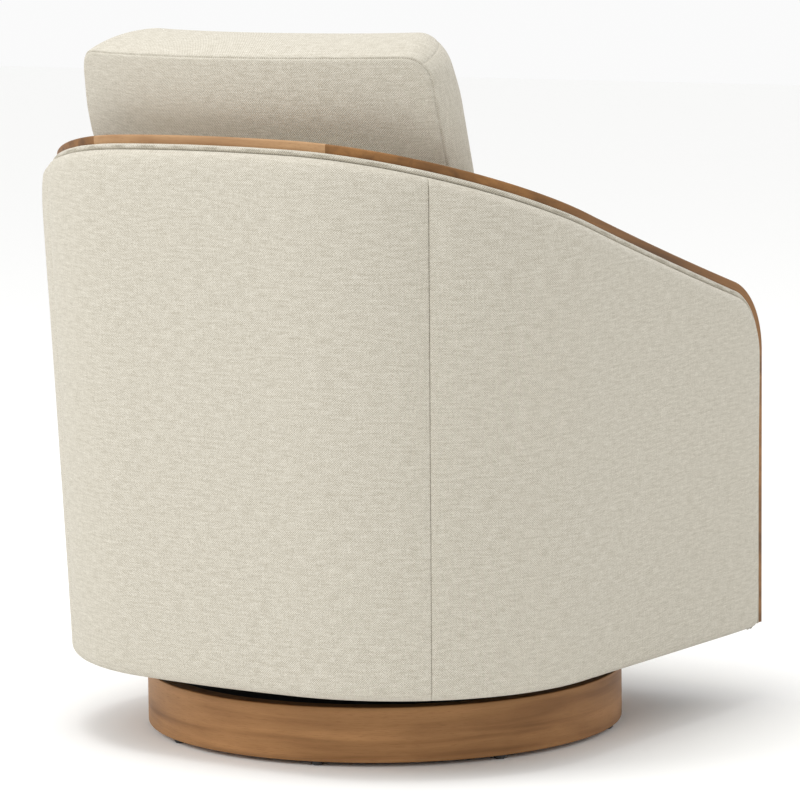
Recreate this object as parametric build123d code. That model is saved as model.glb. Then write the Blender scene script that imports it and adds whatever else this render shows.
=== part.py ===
from build123d import *
import os
from functools import lru_cache
from math import acos, asin, atan2, cos, pi, radians, sin, sqrt, tan

# Swivel barrel chair, in millimetres. +Z is up, the front faces -Y and +X is the sitter's left.
# The origin lies on the floor, on the swivel axis.
# "inset" is measured inwards from the outer face of the fabric barrel, square to its wall.
# "depth" is measured inwards from the top and front face of the wood rim.

# ---- driving dimensions: plinth -------------------------------------------------------------
plinth_radius = 272.0
plinth_height = 61.5
plinth_wall = 18.0
plinth_board_thickness = 18.0
plinth_edge_round = 1.5
glue_block_size = 28.0
glue_block_count = 8
glide_radius = 7.0
glide_height = 5.0
glide_chamfer = 2.0
glide_count = 8
glide_start_angle = 64.2
glide_pin_radius = 1.5
glide_pin_length = 14.0

# ---- driving dimensions: swivel bearing -----------------------------------------------------
swivel_height = 23.5
swivel_plate_size = 200.0
swivel_plate_corner = 14.0
swivel_plate_thickness = 3.0
swivel_hat_radius = 92.0
ball_diameter = 8.0
ball_count = 12
ball_circle_radius = 70.0
race_groove_depth = 0.3
ball_clearance = 0.1
cage_thickness = 1.6
cage_width = 16.0
king_radius = 7.0
king_head_radius = 13.0
king_head_height = 3.0
running_clearance = 0.06
end_play = 0.15
bolt_spacing = 168.0
screw_head_radius = 5.0
screw_head_height = 3.0
screw_shank_radius = 2.4
screw_length = 15.0
bolt_head_height = 4.0
bolt_shank_radius = 3.0
nut_radius = 5.8
nut_height = 5.0
hole_clearance = 0.2

# ---- driving dimensions: barrel -------------------------------------------------------------
shell_lift = 21.0               # from the plinth's top to the underside of the fabric
barrel_half_width = 324.5       # at the underside, on the swivel axis
barrel_back_reach = 321.5       # from the swivel axis to the middle of the back, at the underside
barrel_back_radius = 1168.0
barrel_corner_radius = 236.0
barrel_flare = 2.0              # degrees that every wall leans outwards
arm_toe_in = 1.25               # degrees that the arms close towards the front
barrel_bottom_round = 11.0
barrel_shoulder_round = 13.0
seam_angle = 48.4               # degrees from +X, of the sewn corner seams

# ---- driving dimensions: rim ----------------------------------------------------------------
rim_back_y = 330.0
rim_back_z = 691.0
rim_arm_y = -257.0
rim_arm_z = 496.0
rim_sag = 5.0                   # dip of the rim's side view below a straight line
arm_front_reach = 337.5
arm_front_lean = 3.35           # degrees that the arm fronts lean back
arm_corner_radius = 95.0
trim_thickness = 10.5
trim_width = 32.0
trim_inset = 14.0
trim_foot_gap = 2.0             # the wood ends this far above the underside
trim_joint_x = 157.0
trim_edge_round = 2.0
welt_diameter = 6.5
welt_proud = 4.3                # how far the cord stands out past the wood
welt_round = 3.0

# ---- driving dimensions: frame and upholstery layers ----------------------------------------
outer_pad_thickness = 17.0
fibreboard_thickness = 3.0
cover_wrap = 2.5                # cloth and tacking strip turned over the frame's edges
cover_wrap_width = 20.0
frame_width = 26.0
rim_rail_height = 25.5
inner_pad_thickness = 22.0
inner_pad_round = 8.0
bottom_board_thickness = 18.0
bottom_board_bore = 35.0
dust_cover_thickness = 1.0
post_width = 40.0
back_post_x = 100.0
arm_post_y = -70.0
front_recess = 14.0             # front panel behind the face of the wood
front_pad_thickness = 6.0
seat_rail_top = 302.0
seat_rail_height = 40.0
seat_rail_thickness = 22.0
corner_block_size = 52.0
webbing_thickness = 1.6
webbing_width = 58.0
webbing_gap = 0.2
long_webbing_count = 5
cross_webbing_count = 4
long_webbing_pitch = 84.0
cross_webbing_pitch = 104.0
deck_thickness = 12.4
inner_board_thickness = 6.0
inner_back_pad_thickness = 30.0

# ---- driving dimensions: cushions -----------------------------------------------------------
cushion_clearance = 0.4
lean_clearance = 1.7            # between the back cushion and the pad behind it
recline = 15.6                  # degrees that the back cushion leans back
back_cushion_z = 695.0          # height at which the next value is measured
back_cushion_y = 268.0          # rear face of the back cushion, in the middle
back_cushion_bend = 600.0       # radius of its rear face, across
back_cushion_half_width = 238.0
back_cushion_thickness = 110.0  # in the middle, without the crown
back_cushion_side_thickness = 84.0
back_cushion_top_z = 771.0      # rear seam of the top boxing
back_cushion_corner = 24.0
back_cushion_crown = 22.0
back_cushion_side_crown = 6.0
back_cushion_top_crown = 8.0
seat_cushion_front = 341.4
seat_cushion_front_corner = 26.0
seat_cushion_rear_corner = 120.0
seat_cushion_draw_in = 3.0
seat_cushion_boxing = 115.0
seat_cushion_crown = 22.0
seat_cushion_side_crown = 6.0
seat_cushion_side_gap = 4.0
seat_cushion_rear_gap = 4.0

# ---- heights and insets that follow ---------------------------------------------------------
plinth_low = glide_height
plinth_top = plinth_low + plinth_height
shell_low = plinth_top + shell_lift
frame_low = plinth_top + swivel_height
frame_floor = frame_low + bottom_board_thickness
cover_inner = outer_pad_thickness
frame_outer = cover_inner + fibreboard_thickness
frame_inner = frame_outer + frame_width
pad_inner = frame_inner + inner_pad_thickness
welt_outer = trim_inset - welt_proud
welt_depth = trim_thickness + welt_diameter
rail_depth = trim_thickness + rim_rail_height
front_pad_back = front_recess + front_pad_thickness
front_board_back = front_pad_back + fibreboard_thickness
seat_rail_low = seat_rail_top - seat_rail_height
webbing_top = seat_rail_top + 2 * webbing_thickness + webbing_gap
deck_top = webbing_top + webbing_gap + deck_thickness
seat_cushion_low = deck_top + cushion_clearance
seat_cushion_seam = seat_cushion_low + seat_cushion_boxing
seat_cushion_top = seat_cushion_seam + seat_cushion_crown
tall = 1.1 * rim_back_z         # above everything in the barrel
wide = 1.3 * barrel_half_width  # past everything sideways


# ---- geometry shared by all layers of the barrel --------------------------------------------
def corner_centre():
    """Centre of the back corner on +X, tangent inside to the back arc and to the arm line."""
    toe = radians(arm_toe_in)
    start = (barrel_half_width - barrel_corner_radius * cos(toe), barrel_corner_radius * sin(toe))
    reach = barrel_back_radius - barrel_corner_radius
    from_back = (start[0], start[1] - (barrel_back_reach - barrel_back_radius))
    along = from_back[0] * sin(toe) + from_back[1] * cos(toe)
    rest = from_back[0] ** 2 + from_back[1] ** 2 - reach ** 2
    step = -along + sqrt(along ** 2 - rest)
    return start[0] + step * sin(toe), start[1] + step * cos(toe)


corner_x, corner_y = corner_centre()
back_centre_y = barrel_back_reach - barrel_back_radius
back_join_angle = atan2(corner_y - back_centre_y, corner_x)


def on_circle(centre, radius, angle):
    return centre[0] + radius * cos(angle), centre[1] + radius * sin(angle)


def mirrored(point):
    return -point[0], point[1]


def plan_face(offset, front_y=-wide):
    """The barrel's plan, open side closed far in front, grown outwards by offset."""
    toe = radians(arm_toe_in)
    corner = (corner_x, corner_y)
    radius = barrel_corner_radius + offset
    side = on_circle(corner, radius, -toe)
    middle = on_circle(corner, radius, (back_join_angle - toe) / 2)
    join = on_circle(corner, radius, back_join_angle)
    back = (0, barrel_back_reach + offset)
    front = (side[0] + (front_y - side[1]) * tan(toe), front_y)
    edges = [
        Line(front, side),
        ThreePointArc(side, middle, join),
        ThreePointArc(join, back, mirrored(join)),
        ThreePointArc(mirrored(join), mirrored(middle), mirrored(side)),
        Line(mirrored(side), mirrored(front)),
        Line(mirrored(front), front),
    ]
    return make_face(Wire(edges))


@lru_cache(maxsize=None)
def barrel(inset, low=60.0, high=tall):
    """Solid inside the leaning barrel wall, at an inset from the fabric's outer face."""
    offset = (low - shell_low) * tan(radians(barrel_flare)) - inset
    return extrude(Pos(0, 0, low) * plan_face(offset), high - low, taper=-barrel_flare)


def rim_arc():
    """Centre and radius, in the side view, of the long shallow curve of the rim."""
    length = sqrt((rim_back_y - rim_arm_y) ** 2 + (rim_back_z - rim_arm_z) ** 2)
    radius = (length ** 2 / 4 + rim_sag ** 2) / (2 * rim_sag)
    up = (-(rim_back_z - rim_arm_z) / length, (rim_back_y - rim_arm_y) / length)
    middle = ((rim_arm_y + rim_back_y) / 2, (rim_arm_z + rim_back_z) / 2)
    return (middle[0] + up[0] * (radius - rim_sag), middle[1] + up[1] * (radius - rim_sag)), radius


def arm_corner():
    """Centre, in the side view, of the arc that joins the rim's long curve to the arm front."""
    inwards = (cos(radians(arm_front_lean)), -sin(radians(arm_front_lean)))
    upwards = (sin(radians(arm_front_lean)), cos(radians(arm_front_lean)))
    start = (-arm_front_reach + arm_corner_radius * inwards[0], shell_low + arm_corner_radius * inwards[1])
    gap = (start[0] - rim_centre[0], start[1] - rim_centre[1])
    along = gap[0] * upwards[0] + gap[1] * upwards[1]
    rest = gap[0] ** 2 + gap[1] ** 2 - (rim_radius + arm_corner_radius) ** 2
    step = -along - sqrt(along ** 2 - rest)
    return start[0] + step * upwards[0], start[1] + step * upwards[1]


rim_centre, rim_radius = rim_arc()
arm_corner_centre = arm_corner()
rim_start_angle = atan2(rim_centre[1] - arm_corner_centre[1], rim_centre[0] - arm_corner_centre[0])


@lru_cache(maxsize=None)
def rim_block(depth):
    """Everything below the rim and behind the arm fronts, at a depth under the wood's face."""
    lean = radians(arm_front_lean)
    radius = arm_corner_radius - depth
    curve = rim_radius + depth
    front_angle = pi - lean
    top_angle = rim_start_angle
    front_top = on_circle(arm_corner_centre, radius, front_angle)
    corner_top = on_circle(arm_corner_centre, radius, top_angle)
    corner_middle = on_circle(arm_corner_centre, radius, (front_angle + top_angle) / 2)
    start_angle = top_angle - pi
    end_angle = -acos((wide - rim_centre[0]) / curve)
    rim_middle = on_circle(rim_centre, curve, (start_angle + end_angle) / 2)
    rim_end = on_circle(rim_centre, curve, end_angle)
    foot = (front_top[0] - front_top[1] * tan(lean), 0.0)
    edges = [
        Line(foot, front_top),
        ThreePointArc(front_top, corner_middle, corner_top),
        ThreePointArc(corner_top, rim_middle, rim_end),
        Line(rim_end, (wide, 0)),
        Line((wide, 0), foot),
    ]
    return extrude(Plane.YZ * make_face(Wire(edges)), wide, both=True)


def slab(low, high):
    """Everything between two heights."""
    return Pos(0, 0, (low + high) / 2) * Box(3 * wide, 3 * wide, high - low)


@lru_cache(maxsize=None)
def ring(outer_inset, inner_inset):
    """The barrel wall between two insets, over its whole height."""
    return barrel(outer_inset) - barrel(inner_inset)


def wall_inset(point):
    """Inset of a point from the fabric's outer face."""
    toe = radians(arm_toe_in)
    x, y = abs(point.X) - corner_x, point.Y - corner_y
    angle = atan2(y, x)
    if angle < -toe:
        offset = x * cos(toe) - y * sin(toe) - barrel_corner_radius
    elif angle > back_join_angle:
        offset = sqrt(point.X ** 2 + (point.Y - back_centre_y) ** 2) - barrel_back_radius
    else:
        offset = sqrt(x ** 2 + y ** 2) - barrel_corner_radius
    return (point.Z - shell_low) * tan(radians(barrel_flare)) - offset


def rim_depth(point):
    """Depth of a point under the top and front face of the wood rim."""
    lean = radians(arm_front_lean)
    y, z = point.Y - arm_corner_centre[0], point.Z - arm_corner_centre[1]
    if y * sin(lean) + z * cos(lean) < 0:
        return arm_corner_radius + y * cos(lean) - z * sin(lean)
    if atan2(z, y) > rim_start_angle:
        return arm_corner_radius - sqrt(y ** 2 + z ** 2)
    return sqrt((point.Y - rim_centre[0]) ** 2 + (point.Z - rim_centre[1]) ** 2) - rim_radius


def edges_at(shape, inset=None, depth=None, height=None):
    """Edges of a shape that lie at an inset, at a depth under the rim or at a height."""
    def fits(point):
        wall = inset is None or abs(wall_inset(point) - inset) < 0.1
        rim = depth is None or abs(rim_depth(point) - depth) < 0.1
        level = height is None or abs(point.Z - height) < 0.1
        return wall and rim and level
    return [edge for edge in shape.edges() if all(fits(edge @ share) for share in (0.2, 0.5, 0.8))]


def side_half(sign):
    """The half of space on the sitter's left (1) or right (-1)."""
    return Pos(sign * wide, 0, 0) * Box(2 * wide, 4 * wide, 4 * wide)


def back_wedge(angle, height=2 * tall):
    """The space behind the two corner seams."""
    reach = 2 * wide
    far = (corner_x + reach * cos(radians(angle)), corner_y + reach * sin(radians(angle)))
    points = [(corner_x, corner_y), far, mirrored(far), (-corner_x, corner_y), (corner_x, corner_y)]
    return extrude(make_face(Polyline(*points)), height)


def cushion_plane(along, forward=0.0):
    """Plane square to the back cushion; local y points backwards, out of its rear face."""
    up = Vector(0, sin(radians(recline)), cos(radians(recline)))
    ahead = Vector(0, -cos(radians(recline)), sin(radians(recline)))
    origin = Vector(0, back_cushion_y, back_cushion_z) + up * along + ahead * forward
    return Plane(origin=origin, x_dir=(1, 0, 0), z_dir=up)


@lru_cache(maxsize=None)
def back_cylinder(behind):
    """Solid cylinder whose face lies this far behind the back cushion's rear face."""
    return cushion_plane(0, back_cushion_bend) * Cylinder(back_cushion_bend + behind, 4 * wide)


def slope_y(z, behind, x=0.0):
    """Where a layer of the sloping, bent inside back lies at a height and distance sideways."""
    lean = radians(recline)
    bulge = back_cushion_bend - sqrt(back_cushion_bend ** 2 - x ** 2)
    return back_cushion_y + (z - back_cushion_z) * tan(lean) + (behind - bulge) / cos(lean)


# ---- plinth ---------------------------------------------------------------------------------
def around(count, radius, start=0.0):
    return [Rot(0, 0, start + step * 360 / count) * Pos(radius, 0, 0) for step in range(count)]


glide_circle_radius = plinth_radius - plinth_wall / 2 - 1.0


def plinth_ring():
    """Bent plywood hoop with a wood veneer, open underneath."""
    hoop = Cylinder(plinth_radius, plinth_height) - Cylinder(plinth_radius - plinth_wall, plinth_height)
    hoop = Pos(0, 0, plinth_low + plinth_height / 2) * hoop
    rims = hoop.edges().filter_by(GeomType.CIRCLE).group_by(lambda edge: edge.radius)[-1]
    hoop = fillet(rims, plinth_edge_round)
    hole = Pos(0, 0, plinth_low + glide_pin_length / 2)
    hole = hole * Cylinder(glide_pin_radius + hole_clearance, glide_pin_length + 1)
    return hoop - [place * hole for place in around(glide_count, glide_circle_radius, glide_start_angle)]


def plinth_top_board():
    """Round board let into the hoop, flush with its top edge, painted black."""
    board = Cylinder(plinth_radius - plinth_wall, plinth_board_thickness)
    board = Pos(0, 0, plinth_top - plinth_board_thickness / 2) * board
    hole = Cylinder(screw_shank_radius + hole_clearance, 2 * screw_length)
    return board - [Pos(x, y, plinth_top) * hole for x, y in bolt_places()]


def plinth_glue_blocks():
    """Square blocks glued in the angle under the top board."""
    height = glue_block_size
    low = plinth_top - plinth_board_thickness - height
    block = Pos(-glue_block_size / 2, 0, low + height / 2) * Box(glue_block_size, glue_block_size, height)
    inside = plinth_radius - plinth_wall
    limit = Pos(0, 0, low + height / 2) * Cylinder(inside, height)
    placed = [place * block for place in around(glue_block_count, inside, glide_start_angle + 22.5)]
    return Compound([part & limit for part in placed])


def floor_glides():
    """Black nylon nail-on glides."""
    disc = Pos(0, 0, glide_height / 2) * Cylinder(glide_radius, glide_height)
    foot = disc.edges().filter_by(GeomType.CIRCLE).sort_by(Axis.Z)[0]
    disc = chamfer(foot, glide_chamfer)
    pin = Pos(0, 0, glide_height + glide_pin_length / 2) * Cylinder(glide_pin_radius, glide_pin_length)
    glide = disc + pin
    return Compound([place * glide for place in around(glide_count, glide_circle_radius, glide_start_angle)])


# ---- swivel bearing -------------------------------------------------------------------------
swivel_middle = plinth_top + swivel_height / 2
race_gap = ball_diameter - 2 * race_groove_depth
hat_rise = (swivel_height - race_gap) / 2


def bolt_places():
    half = bolt_spacing / 2
    return [(x, y) for x in (-half, half) for y in (-half, half)]


def swivel_plate(king_hole, bolt_hole):
    """Pressed steel plate seen as the lower one: square flange, raised round hat, ball groove."""
    thick = swivel_plate_thickness
    flange = extrude(RectangleRounded(swivel_plate_size, swivel_plate_size, swivel_plate_corner), thick)
    flange -= Cylinder(swivel_hat_radius - thick, 3 * thick)
    hat = Pos(0, 0, hat_rise / 2) * Cylinder(swivel_hat_radius, hat_rise)
    hat -= Pos(0, 0, (hat_rise - thick) / 2) * Cylinder(swivel_hat_radius - thick, hat_rise - thick)
    plate = Pos(0, 0, plinth_top) * (flange + hat)
    plate -= Pos(0, 0, swivel_middle) * Torus(ball_circle_radius, ball_diameter / 2 + ball_clearance)
    plate -= Pos(0, 0, plinth_top) * Cylinder(king_hole, 4 * hat_rise)
    hole = Pos(0, 0, plinth_top) * Cylinder(bolt_hole, 4 * thick)
    return plate - [Pos(x, y, 0) * hole for x, y in bolt_places()]


def swivel_lower_plate():
    return swivel_plate(king_radius, screw_shank_radius + hole_clearance)


def swivel_upper_plate():
    plate = swivel_plate(king_radius + running_clearance, bolt_shank_radius + hole_clearance)
    return Pos(0, 0, 2 * swivel_middle) * Rot(180, 0, 0) * plate


def swivel_balls():
    ball = Pos(0, 0, swivel_middle) * Sphere(ball_diameter / 2)
    return Compound([place * ball for place in around(ball_count, ball_circle_radius)])


def swivel_ball_cage():
    """Flat ring that keeps the balls apart."""
    cage = Cylinder(ball_circle_radius + cage_width / 2, cage_thickness)
    cage -= Cylinder(ball_circle_radius - cage_width / 2, cage_thickness)
    pocket = Cylinder(ball_diameter / 2 + ball_clearance, 3 * cage_thickness)
    cage -= [place * pocket for place in around(ball_count, ball_circle_radius)]
    return Pos(0, 0, swivel_middle) * cage


def king_rivet():
    """Rivet that ties the two plates together, fast in the lower one."""
    low_head = plinth_top + hat_rise - swivel_plate_thickness - king_head_height
    high_head = plinth_top + swivel_height - hat_rise + swivel_plate_thickness + end_play
    shank = high_head - low_head
    rivet = Pos(0, 0, low_head + shank / 2) * Cylinder(king_radius, shank)
    head = Cylinder(king_head_radius, king_head_height)
    rivet += Pos(0, 0, low_head + king_head_height / 2) * head
    return rivet + Pos(0, 0, high_head + king_head_height / 2) * head


def lower_plate_screws():
    """Screws that hold the lower plate to the plinth's board."""
    seat = plinth_top + swivel_plate_thickness
    head = Pos(0, 0, seat + screw_head_height / 2) * Cylinder(screw_head_radius, screw_head_height)
    shank = Pos(0, 0, seat - screw_length / 2) * Cylinder(screw_shank_radius, screw_length)
    return Compound([Pos(x, y, 0) * (head + shank) for x, y in bolt_places()])


def upper_plate_bolts():
    """Bolts that hold the upper plate to the frame's bottom board."""
    seat = frame_low - swivel_plate_thickness
    length = swivel_plate_thickness + bottom_board_thickness + nut_height
    head = Pos(0, 0, seat - bolt_head_height / 2) * Cylinder(screw_head_radius, bolt_head_height)
    shank = Pos(0, 0, seat + length / 2) * Cylinder(bolt_shank_radius, length)
    return Compound([Pos(x, y, 0) * (head + shank) for x, y in bolt_places()])


def upper_plate_nuts():
    nut = extrude(RegularPolygon(nut_radius, 6), nut_height)
    nut -= Pos(0, 0, nut_height / 2) * Cylinder(bolt_shank_radius, 2 * nut_height)
    return Compound([Pos(x, y, frame_floor) * nut for x, y in bolt_places()])


# ---- barrel frame ---------------------------------------------------------------------------
def bottom_board():
    """Plywood floor of the barrel, bolted to the swivel."""
    board = barrel(frame_outer) & rim_block(front_board_back) & slab(frame_low, frame_floor)
    board -= Pos(0, 0, frame_low) * Cylinder(bottom_board_bore, 4 * bottom_board_thickness)
    hole = Pos(0, 0, frame_low) * Cylinder(bolt_shank_radius + hole_clearance, 4 * bottom_board_thickness)
    return board - [Pos(x, y, 0) * hole for x, y in bolt_places()]


def dust_cover():
    """Black cloth stapled under the frame, cut out round the swivel."""
    edge = cover_inner + cover_wrap_width
    sheet = barrel(edge) & rim_block(front_board_back) & slab(frame_low - dust_cover_thickness, frame_low)
    window = swivel_plate_size + 4
    return sheet - Pos(0, 0, frame_low) * Box(window, window, 4 * dust_cover_thickness)


def rim_rails():
    """Bent rails under the wood rim: back rail, two arm rails and two front posts."""
    hoop = ring(frame_outer, frame_inner) & (rim_block(trim_thickness) - rim_block(rail_depth))
    hoop = hoop & slab(frame_floor, tall)
    front = Pos(0, -2 * wide, 0) * Box(4 * wide, 4 * wide, 2 * arm_corner_centre[1])
    back = Pos(0, 2 * wide, 0) * Box(2 * trim_joint_x, 4 * wide, 4 * tall)
    arms = hoop - front - back
    rails = {"back_top_rail": hoop & back}
    for name, sign in (("left", 1), ("right", -1)):
        rails[f"arm_top_rail_{name}"] = arms & side_half(sign)
        rails[f"arm_front_post_{name}"] = hoop & front & side_half(sign)
    return rails


def posts():
    """Uprights from the bottom board to the rim rails, leaning with the wall."""
    wall = ring(frame_outer, frame_inner) & rim_block(rail_depth) & slab(frame_floor, tall)
    upright = Box(2 * wide, post_width, 4 * tall)
    result = {}
    for name, sign in (("left", 1), ("right", -1)):
        corner = Pos(sign * corner_x, corner_y, 0) * Rot(0, 0, sign * (90 - 90 * sign + seam_angle))
        slots = {
            "arm_post": Pos(sign * wide, arm_post_y, 0) * upright,
            "corner_post": corner * Pos(wide, 0, 0) * upright,
            "back_post": Pos(sign * back_post_x, wide, 0) * Rot(0, 0, 90) * upright,
        }
        for post, slot in slots.items():
            result[f"{post}_{name}"] = wall & slot
    return result


def seat_rails():
    """Rails that carry the webbing, between the arms."""
    level = slab(seat_rail_low, seat_rail_top)
    front_back = front_board_back + seat_rail_thickness
    rear_y = slope_y(seat_rail_top, inner_back_pad_thickness - seat_rail_thickness / 4)
    front = barrel(frame_inner) & (rim_block(front_board_back) - rim_block(front_back)) & level
    ahead_of_rear = Pos(0, rear_y + seat_rail_thickness - 2 * wide, 0) * Box(4 * wide, 4 * wide, 4 * tall)
    sides = ring(frame_inner, frame_inner + seat_rail_thickness) & rim_block(front_back) & level
    sides = sides & ahead_of_rear
    rear = Pos(0, rear_y + seat_rail_thickness / 2, 0) * Box(4 * wide, seat_rail_thickness, 4 * tall)
    rear = rear & barrel(frame_inner + seat_rail_thickness) & level
    inside = barrel(frame_inner + seat_rail_thickness) & rim_block(front_back)
    blocks = []
    for sign in (1, -1):
        x = sign * (barrel_half_width - frame_inner - seat_rail_thickness)
        place = Pos(x, front_back - arm_front_reach, seat_rail_top - seat_rail_height / 2)
        block = Box(corner_block_size, 3 * corner_block_size, seat_rail_height / 2)
        blocks.append((place * Rot(0, 0, sign * 45) * block & inside).solid())
    return {
        "seat_front_rail": front,
        "seat_side_rail_left": sides & side_half(1),
        "seat_side_rail_right": sides & side_half(-1),
        "seat_back_rail": rear,
        "seat_corner_blocks": Compound(blocks),
    }


def seat_webbing():
    """Elastic straps, front to back, with cross straps over them."""
    rear_y = slope_y(seat_rail_top, inner_back_pad_thickness)
    front_y = -arm_front_reach + front_board_back + 16
    length = rear_y - front_y
    low = seat_rail_top + webbing_thickness / 2
    straps = []
    for step in range(long_webbing_count):
        x = (step - (long_webbing_count - 1) / 2) * long_webbing_pitch
        straps.append(Pos(x, (rear_y + front_y) / 2, low) * Box(webbing_width, length, webbing_thickness))
    high = low + webbing_thickness + webbing_gap
    reach = 2 * (barrel_half_width - frame_inner - seat_rail_thickness / 2)
    for step in range(cross_webbing_count):
        y = (rear_y + front_y) / 2 + (step - (cross_webbing_count - 1) / 2) * cross_webbing_pitch
        strap = Pos(0, y, high) * Box(reach, webbing_width, webbing_thickness)
        straps.append((strap & barrel(frame_inner + 4)).solid())
    return Compound(straps)


def seat_deck():
    """Padded deck under the seat cushion."""
    layer = slab(webbing_top + webbing_gap, deck_top)
    return barrel(pad_inner) & rim_block(front_recess) & back_cylinder(lean_clearance) & layer


# ---- inside upholstery ----------------------------------------------------------------------
def cushion_room():
    """Space that the back cushion fills and slides through, with clearance at its sides."""
    angle = asin(back_cushion_half_width / back_cushion_bend)
    side = back_cushion_side_crown + cushion_clearance
    centre = (side / cos(angle), -back_cushion_bend)
    behind = on_circle(centre, back_cushion_bend + 4 * cushion_clearance, pi / 2 - angle)
    ahead = on_circle(centre, back_cushion_bend - 2 * back_cushion_thickness, pi / 2 - angle)
    outline = Polyline(behind, ahead, mirrored(ahead), mirrored(behind), behind)
    low = (seat_cushion_top - back_cushion_z) / cos(radians(recline)) - back_cushion_thickness
    return extrude(cushion_plane(low) * make_face(outline), tall)


def inner_pads():
    """Padded inside of both arms and of the back, from the deck up to the wood rim."""
    above_deck = slab(webbing_top + webbing_gap, tall)
    under_rim = rim_block(trim_thickness)
    face = back_cylinder(lean_clearance)
    behind = back_cylinder(lean_clearance + inner_back_pad_thickness)
    back = barrel(frame_inner) & under_rim & (behind - face) & above_deck
    board = behind_board() & barrel(frame_inner) & rim_block(rail_depth) & above_deck
    arms = ring(frame_inner, pad_inner) & under_rim & above_deck
    arms = fillet(edges_at(arms, pad_inner, trim_thickness), inner_pad_round)
    arms = (arms & face) - cushion_room()
    pads = {"inner_back_pad": back, "inner_back_board": board}
    for name, sign in (("left", 1), ("right", -1)):
        halves = arms & side_half(sign)
        pads[f"inner_arm_pad_{name}"] = halves.solids().sort_by(SortBy.VOLUME)[-1]
    return pads


def behind_board():
    start = lean_clearance + inner_back_pad_thickness
    return back_cylinder(start + inner_board_thickness) - back_cylinder(start)


# ---- outside upholstery ---------------------------------------------------------------------
def outer_shell():
    """Fabric barrel as one block, with its rounded shoulder and rounded underside."""
    block = barrel(0, shell_low) & rim_block(welt_depth)
    block = fillet(edges_at(block, inset=0, depth=welt_depth), barrel_shoulder_round)
    return fillet(edges_at(block, inset=0, height=shell_low), barrel_bottom_round)


def outer_layers():
    """Padded outer covers and the bent fibreboard behind them, cut at the corner seams."""
    wrap_inner = cover_inner + cover_wrap_width
    hollow = ring(cover_inner, frame_inner)
    high_hollow = hollow & rim_block(welt_depth + cover_wrap) & slab(frame_floor - cover_wrap, tall)
    low_hollow = hollow & slab(shell_low + cover_wrap, frame_floor)
    cover = outer_shell() - barrel(frame_outer, low=frame_floor) - barrel(wrap_inner, high=frame_floor)
    cover = cover - high_hollow - low_hollow
    board = ring(cover_inner, frame_outer) & rim_block(welt_depth + cover_wrap)
    board = board & slab(shell_low + cover_wrap, tall)
    wedge = back_wedge(seam_angle)
    layers = {}
    for kind, skin in (("cover", cover), ("board", board)):
        layers[f"outer_back_{kind}"] = skin & wedge
        sides = skin - wedge
        for name, sign in (("left", 1), ("right", -1)):
            layers[f"outer_{name}_{kind}"] = sides & side_half(sign)
    return layers


def front_layers():
    """Front panel under the seat: padded cover and fibreboard."""
    inside = barrel(frame_inner)
    top = webbing_top + webbing_gap
    cover = inside & (rim_block(front_recess) - rim_block(front_pad_back)) & slab(shell_low, top)
    board = inside & (rim_block(front_pad_back) - rim_block(front_board_back))
    board = board & slab(frame_low, seat_rail_top)
    return {"front_cover": cover, "front_board": board}


# ---- wood rim and welt ----------------------------------------------------------------------
def wood_trim():
    """Bent wood rim in three pieces: the back and the two arms with their front legs."""
    foot = shell_low + trim_foot_gap
    band = ring(trim_inset, trim_inset + trim_width) & (rim_block(0) - rim_block(trim_thickness))
    band = band & slab(foot, tall)
    back = Pos(0, 2 * wide, 0) * Box(2 * trim_joint_x, 4 * wide, 4 * tall)
    arms = band - back
    pieces = {"wood_trim_back": round_trim(band & back)}
    for name, sign in (("left", 1), ("right", -1)):
        pieces[f"wood_trim_arm_{name}"] = round_trim(arms & side_half(sign))
    return pieces


def round_trim(piece):
    """The same piece with its two long upper edges rounded."""
    long_edges = edges_at(piece, trim_inset, 0) + edges_at(piece, trim_inset + trim_width, 0)
    return fillet(long_edges, trim_edge_round)


def rim_welt():
    """Covered cord that closes the outer covers all round, under the wood."""
    cord = ring(welt_outer, frame_outer) & (rim_block(trim_thickness) - rim_block(welt_depth))
    cord = cord & slab(shell_low + trim_foot_gap, tall)
    outer_edges = edges_at(cord, welt_outer, trim_thickness) + edges_at(cord, welt_outer, welt_depth)
    return fillet(outer_edges, welt_round)


# ---- cushions -------------------------------------------------------------------------------
def back_cushion_outline(along, half_width, crown, inset=0.0):
    """Bent box in the cushion's own plane: rear arc, crowned front and crowned sides."""
    bend = back_cushion_bend
    angle = asin((half_width - inset) / bend)
    rear = (0, -inset)
    corner = on_circle((0, -bend), bend - inset, pi / 2 - angle)
    ahead = on_circle((0, -bend), bend - back_cushion_side_thickness + inset, pi / 2 - angle)
    front = (0, inset - back_cushion_thickness - crown)
    out = back_cushion_side_crown
    side = ((corner[0] + ahead[0]) / 2 + out * cos(angle), (corner[1] + ahead[1]) / 2 - out * sin(angle))
    edges = [
        ThreePointArc(mirrored(corner), rear, corner),
        ThreePointArc(corner, side, ahead),
        ThreePointArc(ahead, front, mirrored(ahead)),
        ThreePointArc(mirrored(ahead), mirrored(side), mirrored(corner)),
    ]
    return cushion_plane(along) * Wire(edges)


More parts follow.
